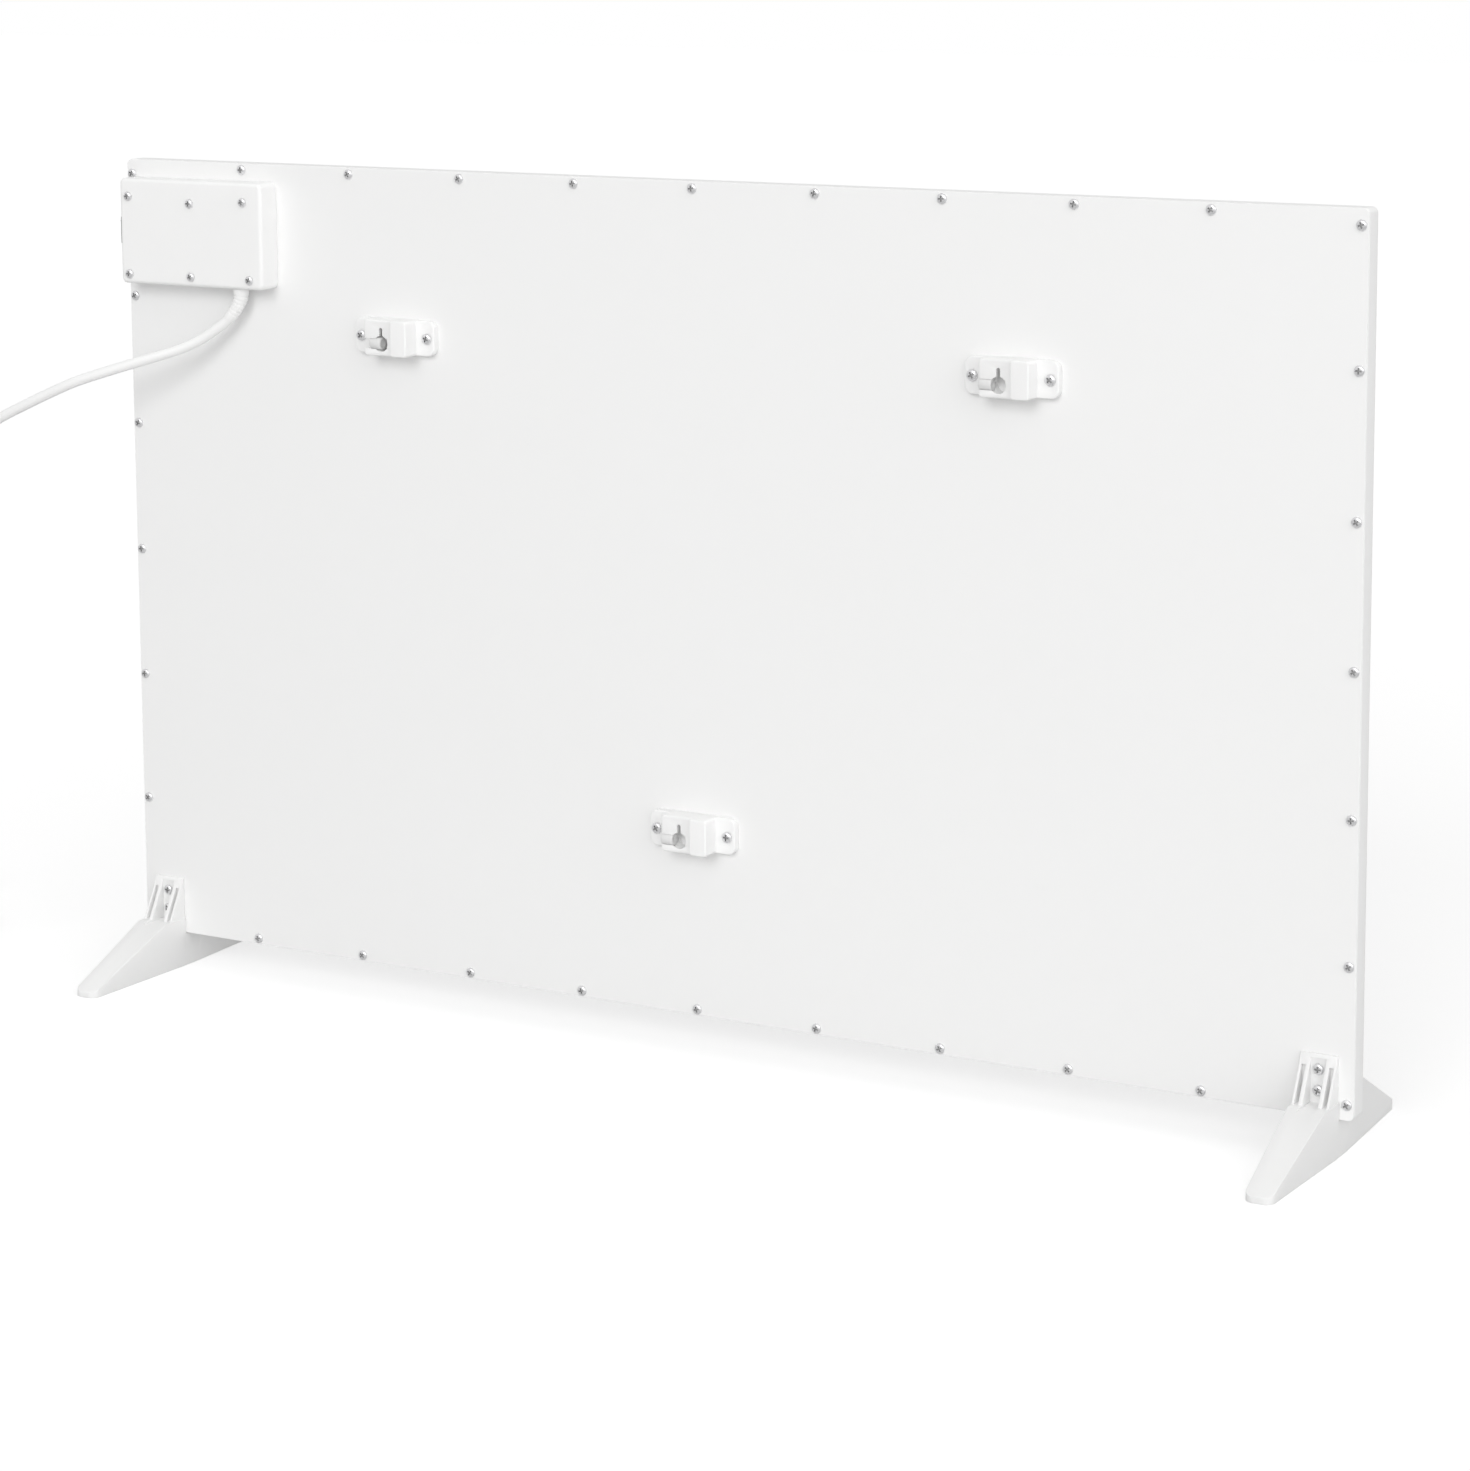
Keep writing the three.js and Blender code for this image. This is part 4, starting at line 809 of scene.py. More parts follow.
@dataclass(frozen=True)
class Studio:
    """Camera at the photograph's viewing angle, pale floor and soft light, in metres."""

    eye: Point3 = (-1.35498, 2.32813, 0.84280)
    right: Point3 = (-0.86961, -0.49371, -0.00524)
    up: Point3 = (0.06365, -0.12262, 0.99041)
    back: Point3 = (-0.48962, 0.86094, 0.13806)
    lens: float = 94.0
    sensor: float = 36.0  # in millimetres, as the lens is
    sight: Point2 = (0.05, 60.0)  # nearest and farthest that the camera sees
    shift_y: float = -0.2213
    floor_reach: float = 14.0
    sky_base: float = 0.2
    sky_side: float = 1.68
    sky_above: float = 0.58
    sky_gloss: float = 0.8  # least light of the sky in reflections
    side_towards: Point3 = (-0.883, 0.469, 0.0)
    side_focus: float = 3.0
    floor_tone: float = 0.7
    floor_lift: float = 0.42  # light added where the camera sees the floor
    key: KeyLight = KeyLight()

    def set_camera(self) -> None:
        """Makes the camera the scene's own."""
        data = bpy.data.cameras.new("photo_camera")
        data.lens = self.lens
        data.sensor_width = self.sensor
        data.shift_y = self.shift_y
        data.clip_start, data.clip_end = self.sight
        camera = link("photo_camera", data)
        axes = Matrix((self.right, self.up, self.back)).transposed()
        camera.matrix_world = Matrix.Translation(self.eye) @ axes.to_4x4()
        bpy.context.scene.camera = camera

    def set_stage(self) -> None:
        """Lays the floor, hangs the lights and fills the sky."""
        low, high = around(0.0, self.floor_reach)
        mesh = bpy.data.meshes.new("floor")
        mesh.from_pydata([(low, low, 0), (high, low, 0), (high, high, 0), (low, high, 0)], [], [range(4)])
        mesh.materials.append(self._floor_material())
        link("floor", mesh)
        self.key.hang()
        bpy.context.scene.world = self._sky()
        view = bpy.context.scene.view_settings
        view.view_transform = "Standard"
        view.look = "None"

    def _sky(self) -> bpy.types.World:
        """White room, brightest overhead and to one side, and plain white where it is seen."""
        world = bpy.data.worlds.new("studio")
        world.use_nodes = True
        graph = Graph(world.node_tree)
        way = graph.add("ShaderNodeTexCoord").outputs["Generated"]
        inputs = {0: way, 1: self.side_towards}
        across = graph.add("ShaderNodeVectorMath", inputs, operation="DOT_PRODUCT").outputs["Value"]
        lobe = graph.math("POWER", graph.math("MAXIMUM", across, 0.0), self.side_focus)
        side = graph.math("MULTIPLY", lobe, self.sky_side)
        height = graph.add("ShaderNodeSeparateXYZ", {"Vector": way}).outputs["Z"]
        above = graph.math("MULTIPLY", graph.math("MAXIMUM", height, 0.0), self.sky_above)
        light = graph.math("ADD", graph.math("ADD", side, above), self.sky_base)
        path = graph.add("ShaderNodeLightPath").outputs
        shine = graph.math("MULTIPLY", path["Is Glossy Ray"], self.sky_gloss)
        light = graph.math("MAXIMUM", graph.math("MAXIMUM", light, shine), path["Is Camera Ray"])
        background = world.node_tree.nodes["Background"].inputs
        background["Color"].default_value = (1, 1, 1, 1)
        graph.link(light, background["Strength"])
        return world

    def _floor_material(self) -> bpy.types.Material:
        """Plain matt paper, lifted to white where the camera sees it."""
        material = bpy.data.materials.new("paper_sweep")
        material.use_nodes = True
        graph = Graph(material.node_tree)
        shader = material.node_tree.nodes["Principled BSDF"]
        shader.inputs["Base Color"].default_value = (*(self.floor_tone,) * 3, 1)
        shader.inputs["Emission Color"].default_value = (1, 1, 1, 1)
        seen = graph.add("ShaderNodeLightPath").outputs["Is Camera Ray"]
        lift = graph.math("MULTIPLY", seen, self.floor_lift)
        graph.link(lift, shader.inputs["Emission Strength"])
        shader.inputs["Roughness"].default_value = 0.9
        shader.inputs["Specular IOR Level"].default_value = 0.1
        return material


# ---------------------------------------------------------------------------
# Screws
# ---------------------------------------------------------------------------


@dataclass(frozen=True)
class ScrewSize:
    """Sizes of a pan-head screw with a cross recess, in millimetres, and its recesses' random seed."""

    head: float
    height: float
    shank: float
    length: float
    seed: int
    recess_span: float = 1.15  # as a share of the head's radius
    recess_width: float = 0.32  # as a share of the head's radius


class ScrewSetter:
    """Geometry Nodes tree that sets turned screws on points, with their heads towards +Y.

    Shares are of the head's height, but TOP_SHARE is of its radius. The greater DOME_SLOPE is, the
    more of the head's side stands straight up before the dome starts.
    """

    FLOATS = ("Head Radius", "Head Height", "Shank Radius", "Shank Length", "Recess Span", "Recess Width")
    HEAD_SIDES = 28
    HEAD_RINGS = 8
    SHANK_SIDES = 16
    SHANK_SHARE = 0.3
    RECESS_SHARE = 1.5
    RECESS_MIDDLE = 1.05
    DOME_SLOPE = 1.45
    TOP_SHARE = 0.58
    SHARP = math.radians(38)

    def __init__(self) -> None:
        """Builds the tree."""
        self.tree = bpy.data.node_groups.new("pan_head_screws", "GeometryNodeTree")
        self.ids: dict[str, str] = {}
        kinds = [("Geometry", "Geometry"), *((name, "Float") for name in self.FLOATS)]
        # The recess material paints the shade that falls in the cross recesses.
        kinds += [("Turn Seed", "Int"), ("Material", "Material"), ("Recess Shade Material", "Material")]
        for name, kind in kinds:
            socket = self.tree.interface.new_socket(name, in_out="INPUT", socket_type=f"NodeSocket{kind}")
            self.ids[name] = socket.identifier
        self.tree.interface.new_socket("Geometry", in_out="OUTPUT", socket_type="NodeSocketGeometry")
        self._wire()

    def _wire(self) -> None:
        """Adds and links the tree's nodes."""
        graph = Graph(self.tree)
        start = graph.add("NodeGroupInput").outputs
        body = self._boolean(graph, Join.ADD, None, [self._head(graph, start), self._shank(graph, start)])
        body = self._painted(graph, body, start["Material"])
        body = self._boolean(graph, Join.CUT, body, self._recess(graph, start))
        body = self._shaded(graph, self._moved(graph, body, Rotation=(-math.pi / 2, 0, 0)))
        turn = {"Min": 0.0, "Max": 2 * math.pi, "Seed": start["Turn Seed"]}
        drawn = graph.add("FunctionNodeRandomValue", turn, data_type="FLOAT")
        spin = next(s for s in drawn.outputs if s.enabled)
        euler = {"Euler": graph.vector(Y=spin)}
        rotation = graph.add("FunctionNodeEulerToRotation", euler).outputs["Rotation"]
        spread = graph.add(
            "GeometryNodeInstanceOnPoints",
            {"Points": start["Geometry"], "Instance": body, "Rotation": rotation},
        ).outputs["Instances"]
        real = graph.add("GeometryNodeRealizeInstances", {"Geometry": spread}).outputs["Geometry"]
        bare = graph.add("GeometryNodeMaterialSelection", {"Material": start["Material"]}).outputs[0]
        painted = graph.add(
            "GeometryNodeSetMaterial", {"Geometry": real, "Selection": bare, "Material": start["Material"]}
        ).outputs["Geometry"]
        graph.add("NodeGroupOutput", {"Geometry": painted})

    def _head(self, graph: Graph, start: Any) -> Any:
        """Head on the ground plane, whose upper rings are drawn in along a quarter of an ellipse."""
        height = start["Head Height"]
        sizes = {"Vertices": self.HEAD_SIDES, "Side Segments": self.HEAD_RINGS, "Fill Segments": 1}
        sizes |= {"Radius": start["Head Radius"], "Depth": height}
        head = graph.add("GeometryNodeMeshCylinder", sizes).outputs["Mesh"]
        place = graph.add("GeometryNodeInputPosition").outputs[0]
        parts = graph.add("ShaderNodeSeparateXYZ", {"Vector": place}).outputs
        share = graph.math("ADD", graph.math("DIVIDE", parts["Z"], height), 0.5)
        slope = self.DOME_SLOPE
        up = graph.math("MULTIPLY_ADD", share, slope, 1 - slope, clamp=True)
        square = graph.math("MULTIPLY", up, up)
        fall = graph.math("SQRT", graph.math("SUBTRACT", 1.0, square, clamp=True))
        scale = graph.math("MULTIPLY_ADD", fall, 1 - self.TOP_SHARE, self.TOP_SHARE)
        wide = graph.vector(X=scale, Y=scale, Z=1.0)
        spot = graph.add("ShaderNodeVectorMath", {0: place, 1: wide}, operation="MULTIPLY").outputs[0]
        drawn = {"Geometry": head, "Position": spot}
        head = graph.add("GeometryNodeSetPosition", drawn).outputs["Geometry"]
        lift = graph.vector(Z=graph.math("MULTIPLY", height, 0.5))
        return self._moved(graph, head, Translation=lift)

    def _shank(self, graph: Graph, start: Any) -> Any:
        """Shank that hangs from inside the head."""
        sizes = {"Vertices": self.SHANK_SIDES, "Radius": start["Shank Radius"]}
        sizes["Depth"] = start["Shank Length"]
        shank = graph.add("GeometryNodeMeshCylinder", sizes).outputs["Mesh"]
        inside = graph.math("MULTIPLY", start["Head Height"], self.SHANK_SHARE)
        sunk = graph.math("MULTIPLY_ADD", start["Shank Length"], -0.5, inside)
        return self._moved(graph, shank, Translation=graph.vector(Z=sunk))

    def _recess(self, graph: Graph, start: Any) -> list[Any]:
        """Two crossed bars that cut the recess and leave their own darker material in it, which is painted
        shade for the shade that falls in the recess.
        """
        tall = graph.math("MULTIPLY", start["Head Height"], self.RECESS_SHARE)
        size = graph.vector(X=start["Recess Span"], Y=start["Recess Width"], Z=tall)
        cutter = graph.add("GeometryNodeMeshCube", {"Size": size}).outputs["Mesh"]
        cutter = self._painted(graph, cutter, start["Recess Shade Material"])
        lift = graph.vector(Z=graph.math("MULTIPLY", start["Head Height"], self.RECESS_MIDDLE))
        turns = ((0, 0, angle) for angle in (0, math.pi / 2))
        return [self._moved(graph, cutter, Translation=lift, Rotation=turn) for turn in turns]

    @staticmethod
    def _painted(graph: Graph, mesh: Any, material: Any) -> Any:
        """Gives a mesh one material."""
        inputs = {"Geometry": mesh, "Material": material}
        return graph.add("GeometryNodeSetMaterial", inputs).outputs["Geometry"]

    @staticmethod
    def _moved(graph: Graph, mesh: Any, **moves: Any) -> Any:
        """Moves or turns a mesh."""
        return graph.add("GeometryNodeTransform", {"Geometry": mesh, **moves}).outputs["Geometry"]

    @staticmethod
    def _boolean(graph: Graph, how: Join, first: Any, others: Sequence[Any]) -> Any:
        """Joins or cuts meshes exactly."""
        node = graph.add("GeometryNodeMeshBoolean", operation=how.value, solver="EXACT")
        if first is not None:
            graph.link(first, node.inputs["Mesh 1"])
        for other in others:
            graph.link(other, node.inputs["Mesh 2"])
        return node.outputs["Mesh"]

    def _shaded(self, graph: Graph, mesh: Any) -> Any:
        """Shades a mesh smooth, but for its sharp edges."""
        angle = graph.add("GeometryNodeInputMeshEdgeAngle").outputs["Unsigned Angle"]
        sharp = graph.add("FunctionNodeCompare", {0: angle, 1: self.SHARP}, operation="GREATER_THAN")
        smooth = graph.add("GeometryNodeSetShadeSmooth", {"Geometry": mesh, "Shade Smooth": True})
        edges = graph.add(
            "GeometryNodeSetShadeSmooth",
            {"Geometry": smooth.outputs[0], "Selection": sharp.outputs[0], "Shade Smooth": False},
            domain="EDGE",
        )
        return edges.outputs[0]

    def set_on(
        self, name: str, places: Sequence[Point3], size: ScrewSize, paint: Paint
    ) -> bpy.types.Object:
        """Sets screws on points.

        Args:
            name: Name of the piece.
            places: Where each head stands, in millimetres.
            size: Sizes of the screws.
            paint: Where their two finishes come from.

        Returns:
            One plain mesh object with all the screws.
        """
        mesh = bpy.data.meshes.new(name)
        mesh.from_pydata([tuple(MM * c for c in place) for place in places], [], [])
        piece = link(name, mesh)
        modifier = piece.modifiers.new("screws", "NODES")
        modifier.node_group = self.tree
        span, width = size.head * size.recess_span, size.head * size.recess_width
        lengths = (size.head, size.height, size.shank, size.length, span, width)
        values = {key: value * MM for key, value in zip(self.FLOATS, lengths)}
        values["Turn Seed"] = size.seed
        values["Material"] = paint.get("zinc")
        # The recesses get a darker material, which is painted shade.
        values["Recess Shade Material"] = paint.get("screw_recess_painted_shade")
        for key, value in values.items():
            modifier[self.ids[key]] = value
        return settle(piece)


@dataclass
class ScrewedPart(Part):
    """Sub-assembly that has screws."""

    screws: ScrewSetter

    def set_screws(
        self, name: str, places: Sequence[Point3], size: ScrewSize, stands_for: Sequence[str] = ()
    ) -> None:
        """Makes one piece of screws.

        Args:
            name: Name of the piece.
            places: Where each head stands, in millimetres.
            size: Sizes of the screws.
            stands_for: CAD nodes that it replaces.
        """
        self.add(self.screws.set_on(name, places, size, self.paint), "zinc", stands_for)


# ---------------------------------------------------------------------------
# Mains lead
# ---------------------------------------------------------------------------


def catmull_rom(points: Sequence[Vector], step: float) -> list[Vector]:
    """Centripetal spline through points, as the CAD model's cord follows it.

    Args:
        points: Points that the line passes through.
        step: About the greatest distance between the points returned.

    Returns:
        Points along the line, its first and last point among them.
    """
    ends = [2 * points[0] - points[1], *points, 2 * points[-1] - points[-2]]
    line = [points[0].copy()]
    for before, start, end, after in zip(ends, ends[1:], ends[2:], ends[3:]):
        gap_0, gap_1, gap_2 = (
            math.sqrt((b - a).length) for a, b in ((before, start), (start, end), (end, after))
        )
        slope_1 = (start - before) / gap_0 - (end - before) / (gap_0 + gap_1) + (end - start) / gap_1
        slope_2 = (end - start) / gap_1 - (after - start) / (gap_1 + gap_2) + (after - end) / gap_2
        slope_1, slope_2 = slope_1 * gap_1, slope_2 * gap_1
        cube = 2 * start - 2 * end + slope_1 + slope_2
        square = -3 * start + 3 * end - 2 * slope_1 - slope_2
        count = max(1, math.ceil((end - start).length / step))
        for i in range(1, count + 1):
            t = i / count
            line.append(start + slope_1 * t + square * t * t + cube * t**3)
    return line


@dataclass
class MainsLead(Part):
    """Cord with its strain relief, its coil and its plug, in millimetres."""

    diameter: float = 8.0
    length: float = 1727.0
    route: tuple[Point3, ...] = (
        (387, 15, 536.7), (387, 15, 531.4), (389.8, 15.8, 523.6), (396.6, 18, 514.1), (407.8, 21, 504.8),
        (421, 25, 496.1), (434.3, 30, 489.8), (450.7, 36, 484.2), (468.1, 42, 478.6), (491.5, 49, 471.1),
        (515.9, 55, 462.7), (537.3, 59, 453.4), (559.7, 62, 443), (583.2, 64, 431.7), (606, 67, 417.5),
        (627, 71, 396), (643, 76, 366), (652, 81, 330), (655, 86, 290), (655, 90, 246), (653, 94, 200),
        (650, 98, 154), (648, 101, 108), (648, 103, 66), (650.5, 104, 42), (657.5, 104.3, 23),
        (669, 104.3, 10), (683, 104.3, 4.9), (695.7, 104.3, 4.3),
    )
    coil_centre: Point2 = (704, 50)
    coil_radius: float = 40.0
    coil_pitch: float = 8.8
    coil_layer: float = 8.5
    coil_turns: float = 3.25
    coil_steps: int = 48  # in each turn
    climb: float = 0.25  # turns before and after half way, in which the cord climbs a layer
    straight: float = 8.0
    rise: float = 20.0
    rise_shares: tuple[float, ...] = (0.15, 0.3, 0.4, 0.5, 0.6, 0.7, 0.85, 1)
    axis_floor: float = 4.3
    step: float = 3.0
    bevel_steps: int = 8
    grip_points: int = 6  # of the route, which the sleeve follows
    grip_step: float = 0.25
    grip_length: float = 26.0
    grip_radii: Point2 = (6.2, 4.5)
    grip_taper: float = 0.8
    ribbed: Point2 = (5.0, 23.0)  # where the ribs of the sleeve start and end
    rib_pitch: float = 3.0
    rib_gap: float = 1.1
    rib_depth: float = 0.4
    collar_radii: Point2 = (4.9, 6.5)
    collar_low: float = 2.6
    collar_edge: float = 0.5
    plug_height: float = 18.3
    plug_length: float = 34.0
    plug_radius: float = 18.0
    plug_sides: int = 72
    # inset and distance behind the face
    plug_rim: tuple[Point2, ...] = ((1.8, 0.0), (1.1, 0.2), (0.4, 0.7), (0.0, 1.6))
    # share of the radius and distance behind the face
    plug_shoulder: tuple[Point2, ...] = (
        (1.0, 15), (0.985, 16.6), (0.93, 19), (0.83, 22), (0.74, 25), (0.68, 28), (0.6, 31),
    )
    # radius and distance from the start of the relief
    plug_neck: tuple[Point2, ...] = ((9.9, -1.0), (7.4, 0.4))
    relief: float = 22.0
    relief_ribs: int = 6
    relief_start: float = 1.2
    relief_pitch: float = 3.3
    relief_radius: float = 7.3
    relief_taper: float = 0.45
    # inset and distance from the start of the rib
    relief_rib: tuple[Point2, ...] = ((0.0, 0.0), (0.1, 1.9), (0.9, 2.1), (0.95, 3.1))
    # radius and distance from the end of the cord
    relief_end: tuple[Point2, ...] = ((4.6, -0.9), (4.3, -SEAT))
    strip_bed: Point3 = (3.0, 12.0, 2.6)  # half width, length and depth
    strip: Point3 = (2.4, 11.2, 2.5)  # half width, length and depth
    strip_thickness: float = 1.0
    strip_setback: float = 0.2
    strip_corner: float = 0.8
    finger_grooves: int = 5
    finger_share: float = 0.74
    finger_start: float = 24.0
    finger_pitch: float = 1.9
    finger_width: float = 0.8
    finger_depth: float = 3.3
    finger_taper: float = 0.5
    finger_half: float = 6.0
    pin_pitch: float = 19.0
    pin_length: float = 19.0
    pin_root: float = 5.7
    # radius and distance from the tip
    pin_tip: tuple[Point2, ...] = ((0.4, 0.0), (1.4, 0.15), (2.1, 0.8), (2.4, 2.0))
    pin_hole: Point2 = (2.7, 6.0)  # radius and depth
    centre_radius: float = 0.5
    mould_edge: float = 0.25

    def coil_line(self) -> list[Vector]:
        """Line of the coil: in along the floor, up a layer half way, and out to the plug."""
        cx, cy = self.coil_centre
        outer = self.coil_radius + self.coil_pitch * self.coil_turns / 2
        line = [Vector((cx - self.straight, cy + outer, self.axis_floor))]
        steps = round(self.coil_turns * self.coil_steps)
        for i in range(steps + 1):
            turn = self.coil_turns * i / steps
            past = turn - self.coil_turns / 2
            radius = self.coil_radius + self.coil_pitch * abs(past)
            climbed = min(1, max(0, (past + self.climb) / (2 * self.climb)))
            angle = math.pi / 2 - 2 * math.pi * turn
            height = self.axis_floor + self.coil_layer * climbed
            line.append(Vector((cx + radius * math.cos(angle), cy + radius * math.sin(angle), height)))
        top = self.axis_floor + self.coil_layer
        for share in self.rise_shares:
            lift = (self.plug_height - top) * share * share * (3 - 2 * share)
            line.append(Vector((cx + outer, cy - self.straight - self.rise * share, top + lift)))
        line.append(Vector((cx + outer, cy - 2 * self.straight - self.rise, self.plug_height)))
        return line

    def make_cord(self) -> None:
        line = catmull_rom([Vector(p) for p in self.route], self.step) + self.coil_line()[1:]
        cord = self._cord_curve(line)
        grip = self._grip()
        plug, pins, strips = self._plug(line[-1])
        self.paint.dress(cord, "white_cord")
        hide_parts("power_cord", "cord_coil")
        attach(cord, HEATER)
        self.add(grip, "white_cord", ["cord_grip"])
        self.add(plug, "white_moulding", ["mains_plug"])
        self.add(pins, "nickel", ["plug_pin_1", "plug_pin_2"])
        self.add(strips, "nickel")

    def _cord_curve(self, line: Sequence[Vector]) -> bpy.types.Object:
        """Curve of one open spline with the cord's thickness."""
        data = bpy.data.curves.new("mains_cord", "CURVE")
        data.dimensions = "3D"
        data.bevel_depth = self.diameter / 2 * MM
        data.bevel_resolution = self.bevel_steps
        data.use_fill_caps = True
        spline = data.splines.new("POLY")
        spline.points.add(len(line) - 1)
        for point, spot in zip(spline.points, line):
            point.co = (*(spot * MM), 1.0)
        spline.use_smooth = True
        return link("mains_cord", data)

    def _grip(self) -> bpy.types.Object:
        """Tapered sleeve with ribs, and the collar that holds it in the box's wall."""
        dense = catmull_rom([Vector(p) for p in self.route[: self.grip_points]], self.grip_step)
        path, run = [dense[0]], 0.0
        for a, b in zip(dense, dense[1:]):
            run += (b - a).length
            if run > self.grip_length:
                break
            path.append(b)

        def radius(share: float) -> float:
            """Radius at a share of the sleeve's length."""
            wide, narrow = self.grip_radii
            start, end = self.ribbed
            along = share * self.grip_length
            groove = start < along < end and (along - start) % self.rib_pitch < self.rib_gap
            return wide + (narrow - wide) * share**self.grip_taper - (self.rib_depth if groove else 0.0)

        sleeve = swept("strain_relief", path, radius)
        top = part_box("cord_grip")[1].z / MM - self.route[0][2]
        neck, wide = self.collar_radii
        profile = [(neck, -OVERCUT), (neck, self.collar_low), (wide, self.collar_low)]
        profile += [(wide, top - self.collar_edge), (wide - self.collar_edge, top)]
        combine(sleeve, [turned("tool", profile, self.route[0], Axis.Z)], Join.ADD)
        return soften(sleeve)

    def _plug(self, end: Vector) -> tuple[bpy.types.Object, bpy.types.Object, bpy.types.Object]:
        """Two-pin plug about an axis along Y, from where the cord ends.

        Args:
            end: Last point of the cord, in millimetres.

        Returns:
            The body, its two pins, and the earth strips in its side grooves.
        """
        x, y, z = end
        face = -self.relief - self.plug_length
        body = turned("mains_plug_body", self._plug_profile(face), end, Axis.Y, self.plug_sides)
        tools, pins, strips = [], [], []
        tip = [(radius, face - self.pin_length + along) for radius, along in self.pin_tip]
        shape = [*tip, (tip[-1][0], face + self.pin_root)]
        for side in SIDES:
            half, length, depth = self.strip_bed
            reaches = (self.plug_radius - depth, self.plug_radius + OVERCUT)
            bed = sorted(z + side * reach for reach in reaches)
            tools.append(block(around(x, half), (y + face - OVERCUT, y + face + length), bed))
            pin_x = x + side * self.pin_pitch / 2
            hole, deep = self.pin_hole
            tools.append(bar(hole, (y + face - OVERCUT, y + face + deep), (pin_x, z), Axis.Y, 32))
            pins.append(turned("plug_pins", shape, (pin_x, y, z), Axis.Y, 32))
            half, length, depth = self.strip
            reach = self.plug_radius - depth
            span = sorted((z + side * reach, z + side * (reach + self.strip_thickness)))
            along = (y + face + self.strip_setback, y + face + length)
            outline = rounded(around(x, half), along, self.strip_corner, 4)
            strips.append(prism("earth_strips", outline, span, Axis.Z))
        for i in range(self.finger_grooves):
            at = y + face + self.finger_start + i * self.finger_pitch
            wall = self.plug_radius * self.finger_share - self.finger_depth - i * self.finger_taper
            for side in SIDES:
                near = sorted((x + side * wall, x + side * (self.plug_radius + OVERCUT)))
                tools.append(block(near, (at, at + self.finger_width), around(z, self.finger_half)))
        combine(body, tools, Join.CUT)
        combine(pins[0], pins[1:], Join.ADD)
        combine(strips[0], strips[1:], Join.ADD)
        return soften(body, self.mould_edge), soften(pins[0]), soften(strips[0], self.mould_edge)

    def _plug_profile(self, face: float) -> list[Point2]:
        """Radius and place of each ring of the plug's body, from its face to the cord.

        Args:
            face: Place of the face, which is ahead of the cord's end.

        Returns:
            The profile, in millimetres.
        """
        r = self.plug_radius
        profile = [(self.centre_radius, face)]
        profile += [(r - inset, face + back) for inset, back in self.plug_rim]
        profile += [(r * share, face + back) for share, back in self.plug_shoulder]
        profile += [(radius, back - self.relief) for radius, back in self.plug_neck]
        for i in range(self.relief_ribs):
            back = -self.relief + self.relief_start + i * self.relief_pitch
            radius = self.relief_radius - i * self.relief_taper
            profile += [(radius - inset, back + along) for inset, along in self.relief_rib]
        return profile + list(self.relief_end)


# ---------------------------------------------------------------------------
# Panel
# ---------------------------------------------------------------------------


@dataclass
class Panel(ScrewedPart):
    """Folded front tray, rear sheet, rim screws and what lies between, in millimetres."""

    half_width: float = 500.0
    low: float = 26.0
    high: float = 630.0
    front: float = -13.0
    rear: float = 5.0
    sheet: float = 0.8
    corner: float = 4.0
    least_corner: float = 0.6
    edge: float = 2.4
    edge_steps: int = 8
    flange: float = 12.0
    fold: float = 0.3
    bend: float = 0.4
    hem: float = 0.2
    rear_inset: float = 0.25
    rear_edge: float = 0.3
    screw_inset: float = 5.0
    row_count: int = 9
    row_pitch: float = 97.9
    columns: tuple[float, ...] = (-291, -197.2, -98.6, 0, 98.6, 197.2, 291)
    rim_screw: ScrewSize = ScrewSize(3.7, 1.9, 1.3, 3.5, seed=11)

    def build(self) -> None:
        """Makes the tray, the sheet and the screws, and dresses the inner pieces."""
        plan = Plan(around(0.0, self.half_width), (self.low, self.high), self.corner, self.least_corner)
        lip = self.rear - self.sheet - SEAT
        inside, back = self.front + self.sheet, lip - self.sheet
        rounding = reversed(quarter(self.edge - self.sheet)[:-1])
        faces = [(self.edge, inside), *((self.sheet + a, inside + b) for a, b in rounding)]
        faces += [(self.sheet, lip - self.fold), (self.sheet + self.bend, back), (self.flange, back)]
        faces += [(self.flange, lip), *((a, lip - b) for a, b in reversed(quarter(self.fold)))]
        faces += [(a, self.front + b) for a, b in quarter(self.edge, self.edge_steps)]
        tray = loft("front_tray", [plan.ring(a, y) for a, y in faces])
        self.add(soften(tray), "white_paint", ["front_panel"])

        under, inset = lip + SEAM, self.rear_inset
        faces = [(inset + self.hem, under), (inset, under + self.hem)]
        faces += [(inset + a, self.rear - b) for a, b in quarter(self.rear_edge, 4)]
        sheet = loft("back_sheet", [plan.ring(a, y) for a, y in faces])
        self.add(soften(sheet), "white_paint", ["rear_sheet"])

        self.set_screws("rim_screws", self.screw_places(), self.rim_screw)
        self.keep("carbon_film", "heating_film")
        self.keep("copper", "busbar_top", "busbar_lower")
        self.keep("aluminium_foil", "reflector_foil")
        self.keep("mineral_board", "insulation_board")
        self.keep("nickel", "thermal_cutout")
        self.keep("lead_sleeve", "busbar_lead", "cutout_lead", "return_lead")
        self.keep("black_rubber", "lead_grommet")
        self.keep("zinc", "earth_stud")

    def screw_places(self) -> list[Point3]:
        """Where the rim screws' heads stand, as the photograph has them."""
        y = self.rear + SEAM
        first = (1 - self.row_count) // 2
        places = []
        for z in (self.low + self.screw_inset, self.high - self.screw_inset):
            places += [((first + i) * self.row_pitch, y, z) for i in range(self.row_count)]
        middle = (self.low + self.high) / 2
        for side in SIDES:
            x = side * (self.half_width - self.screw_inset)
            places += [(x, y, middle + offset) for offset in self.columns]
        return places


# ---------------------------------------------------------------------------
# Control box
# ---------------------------------------------------------------------------


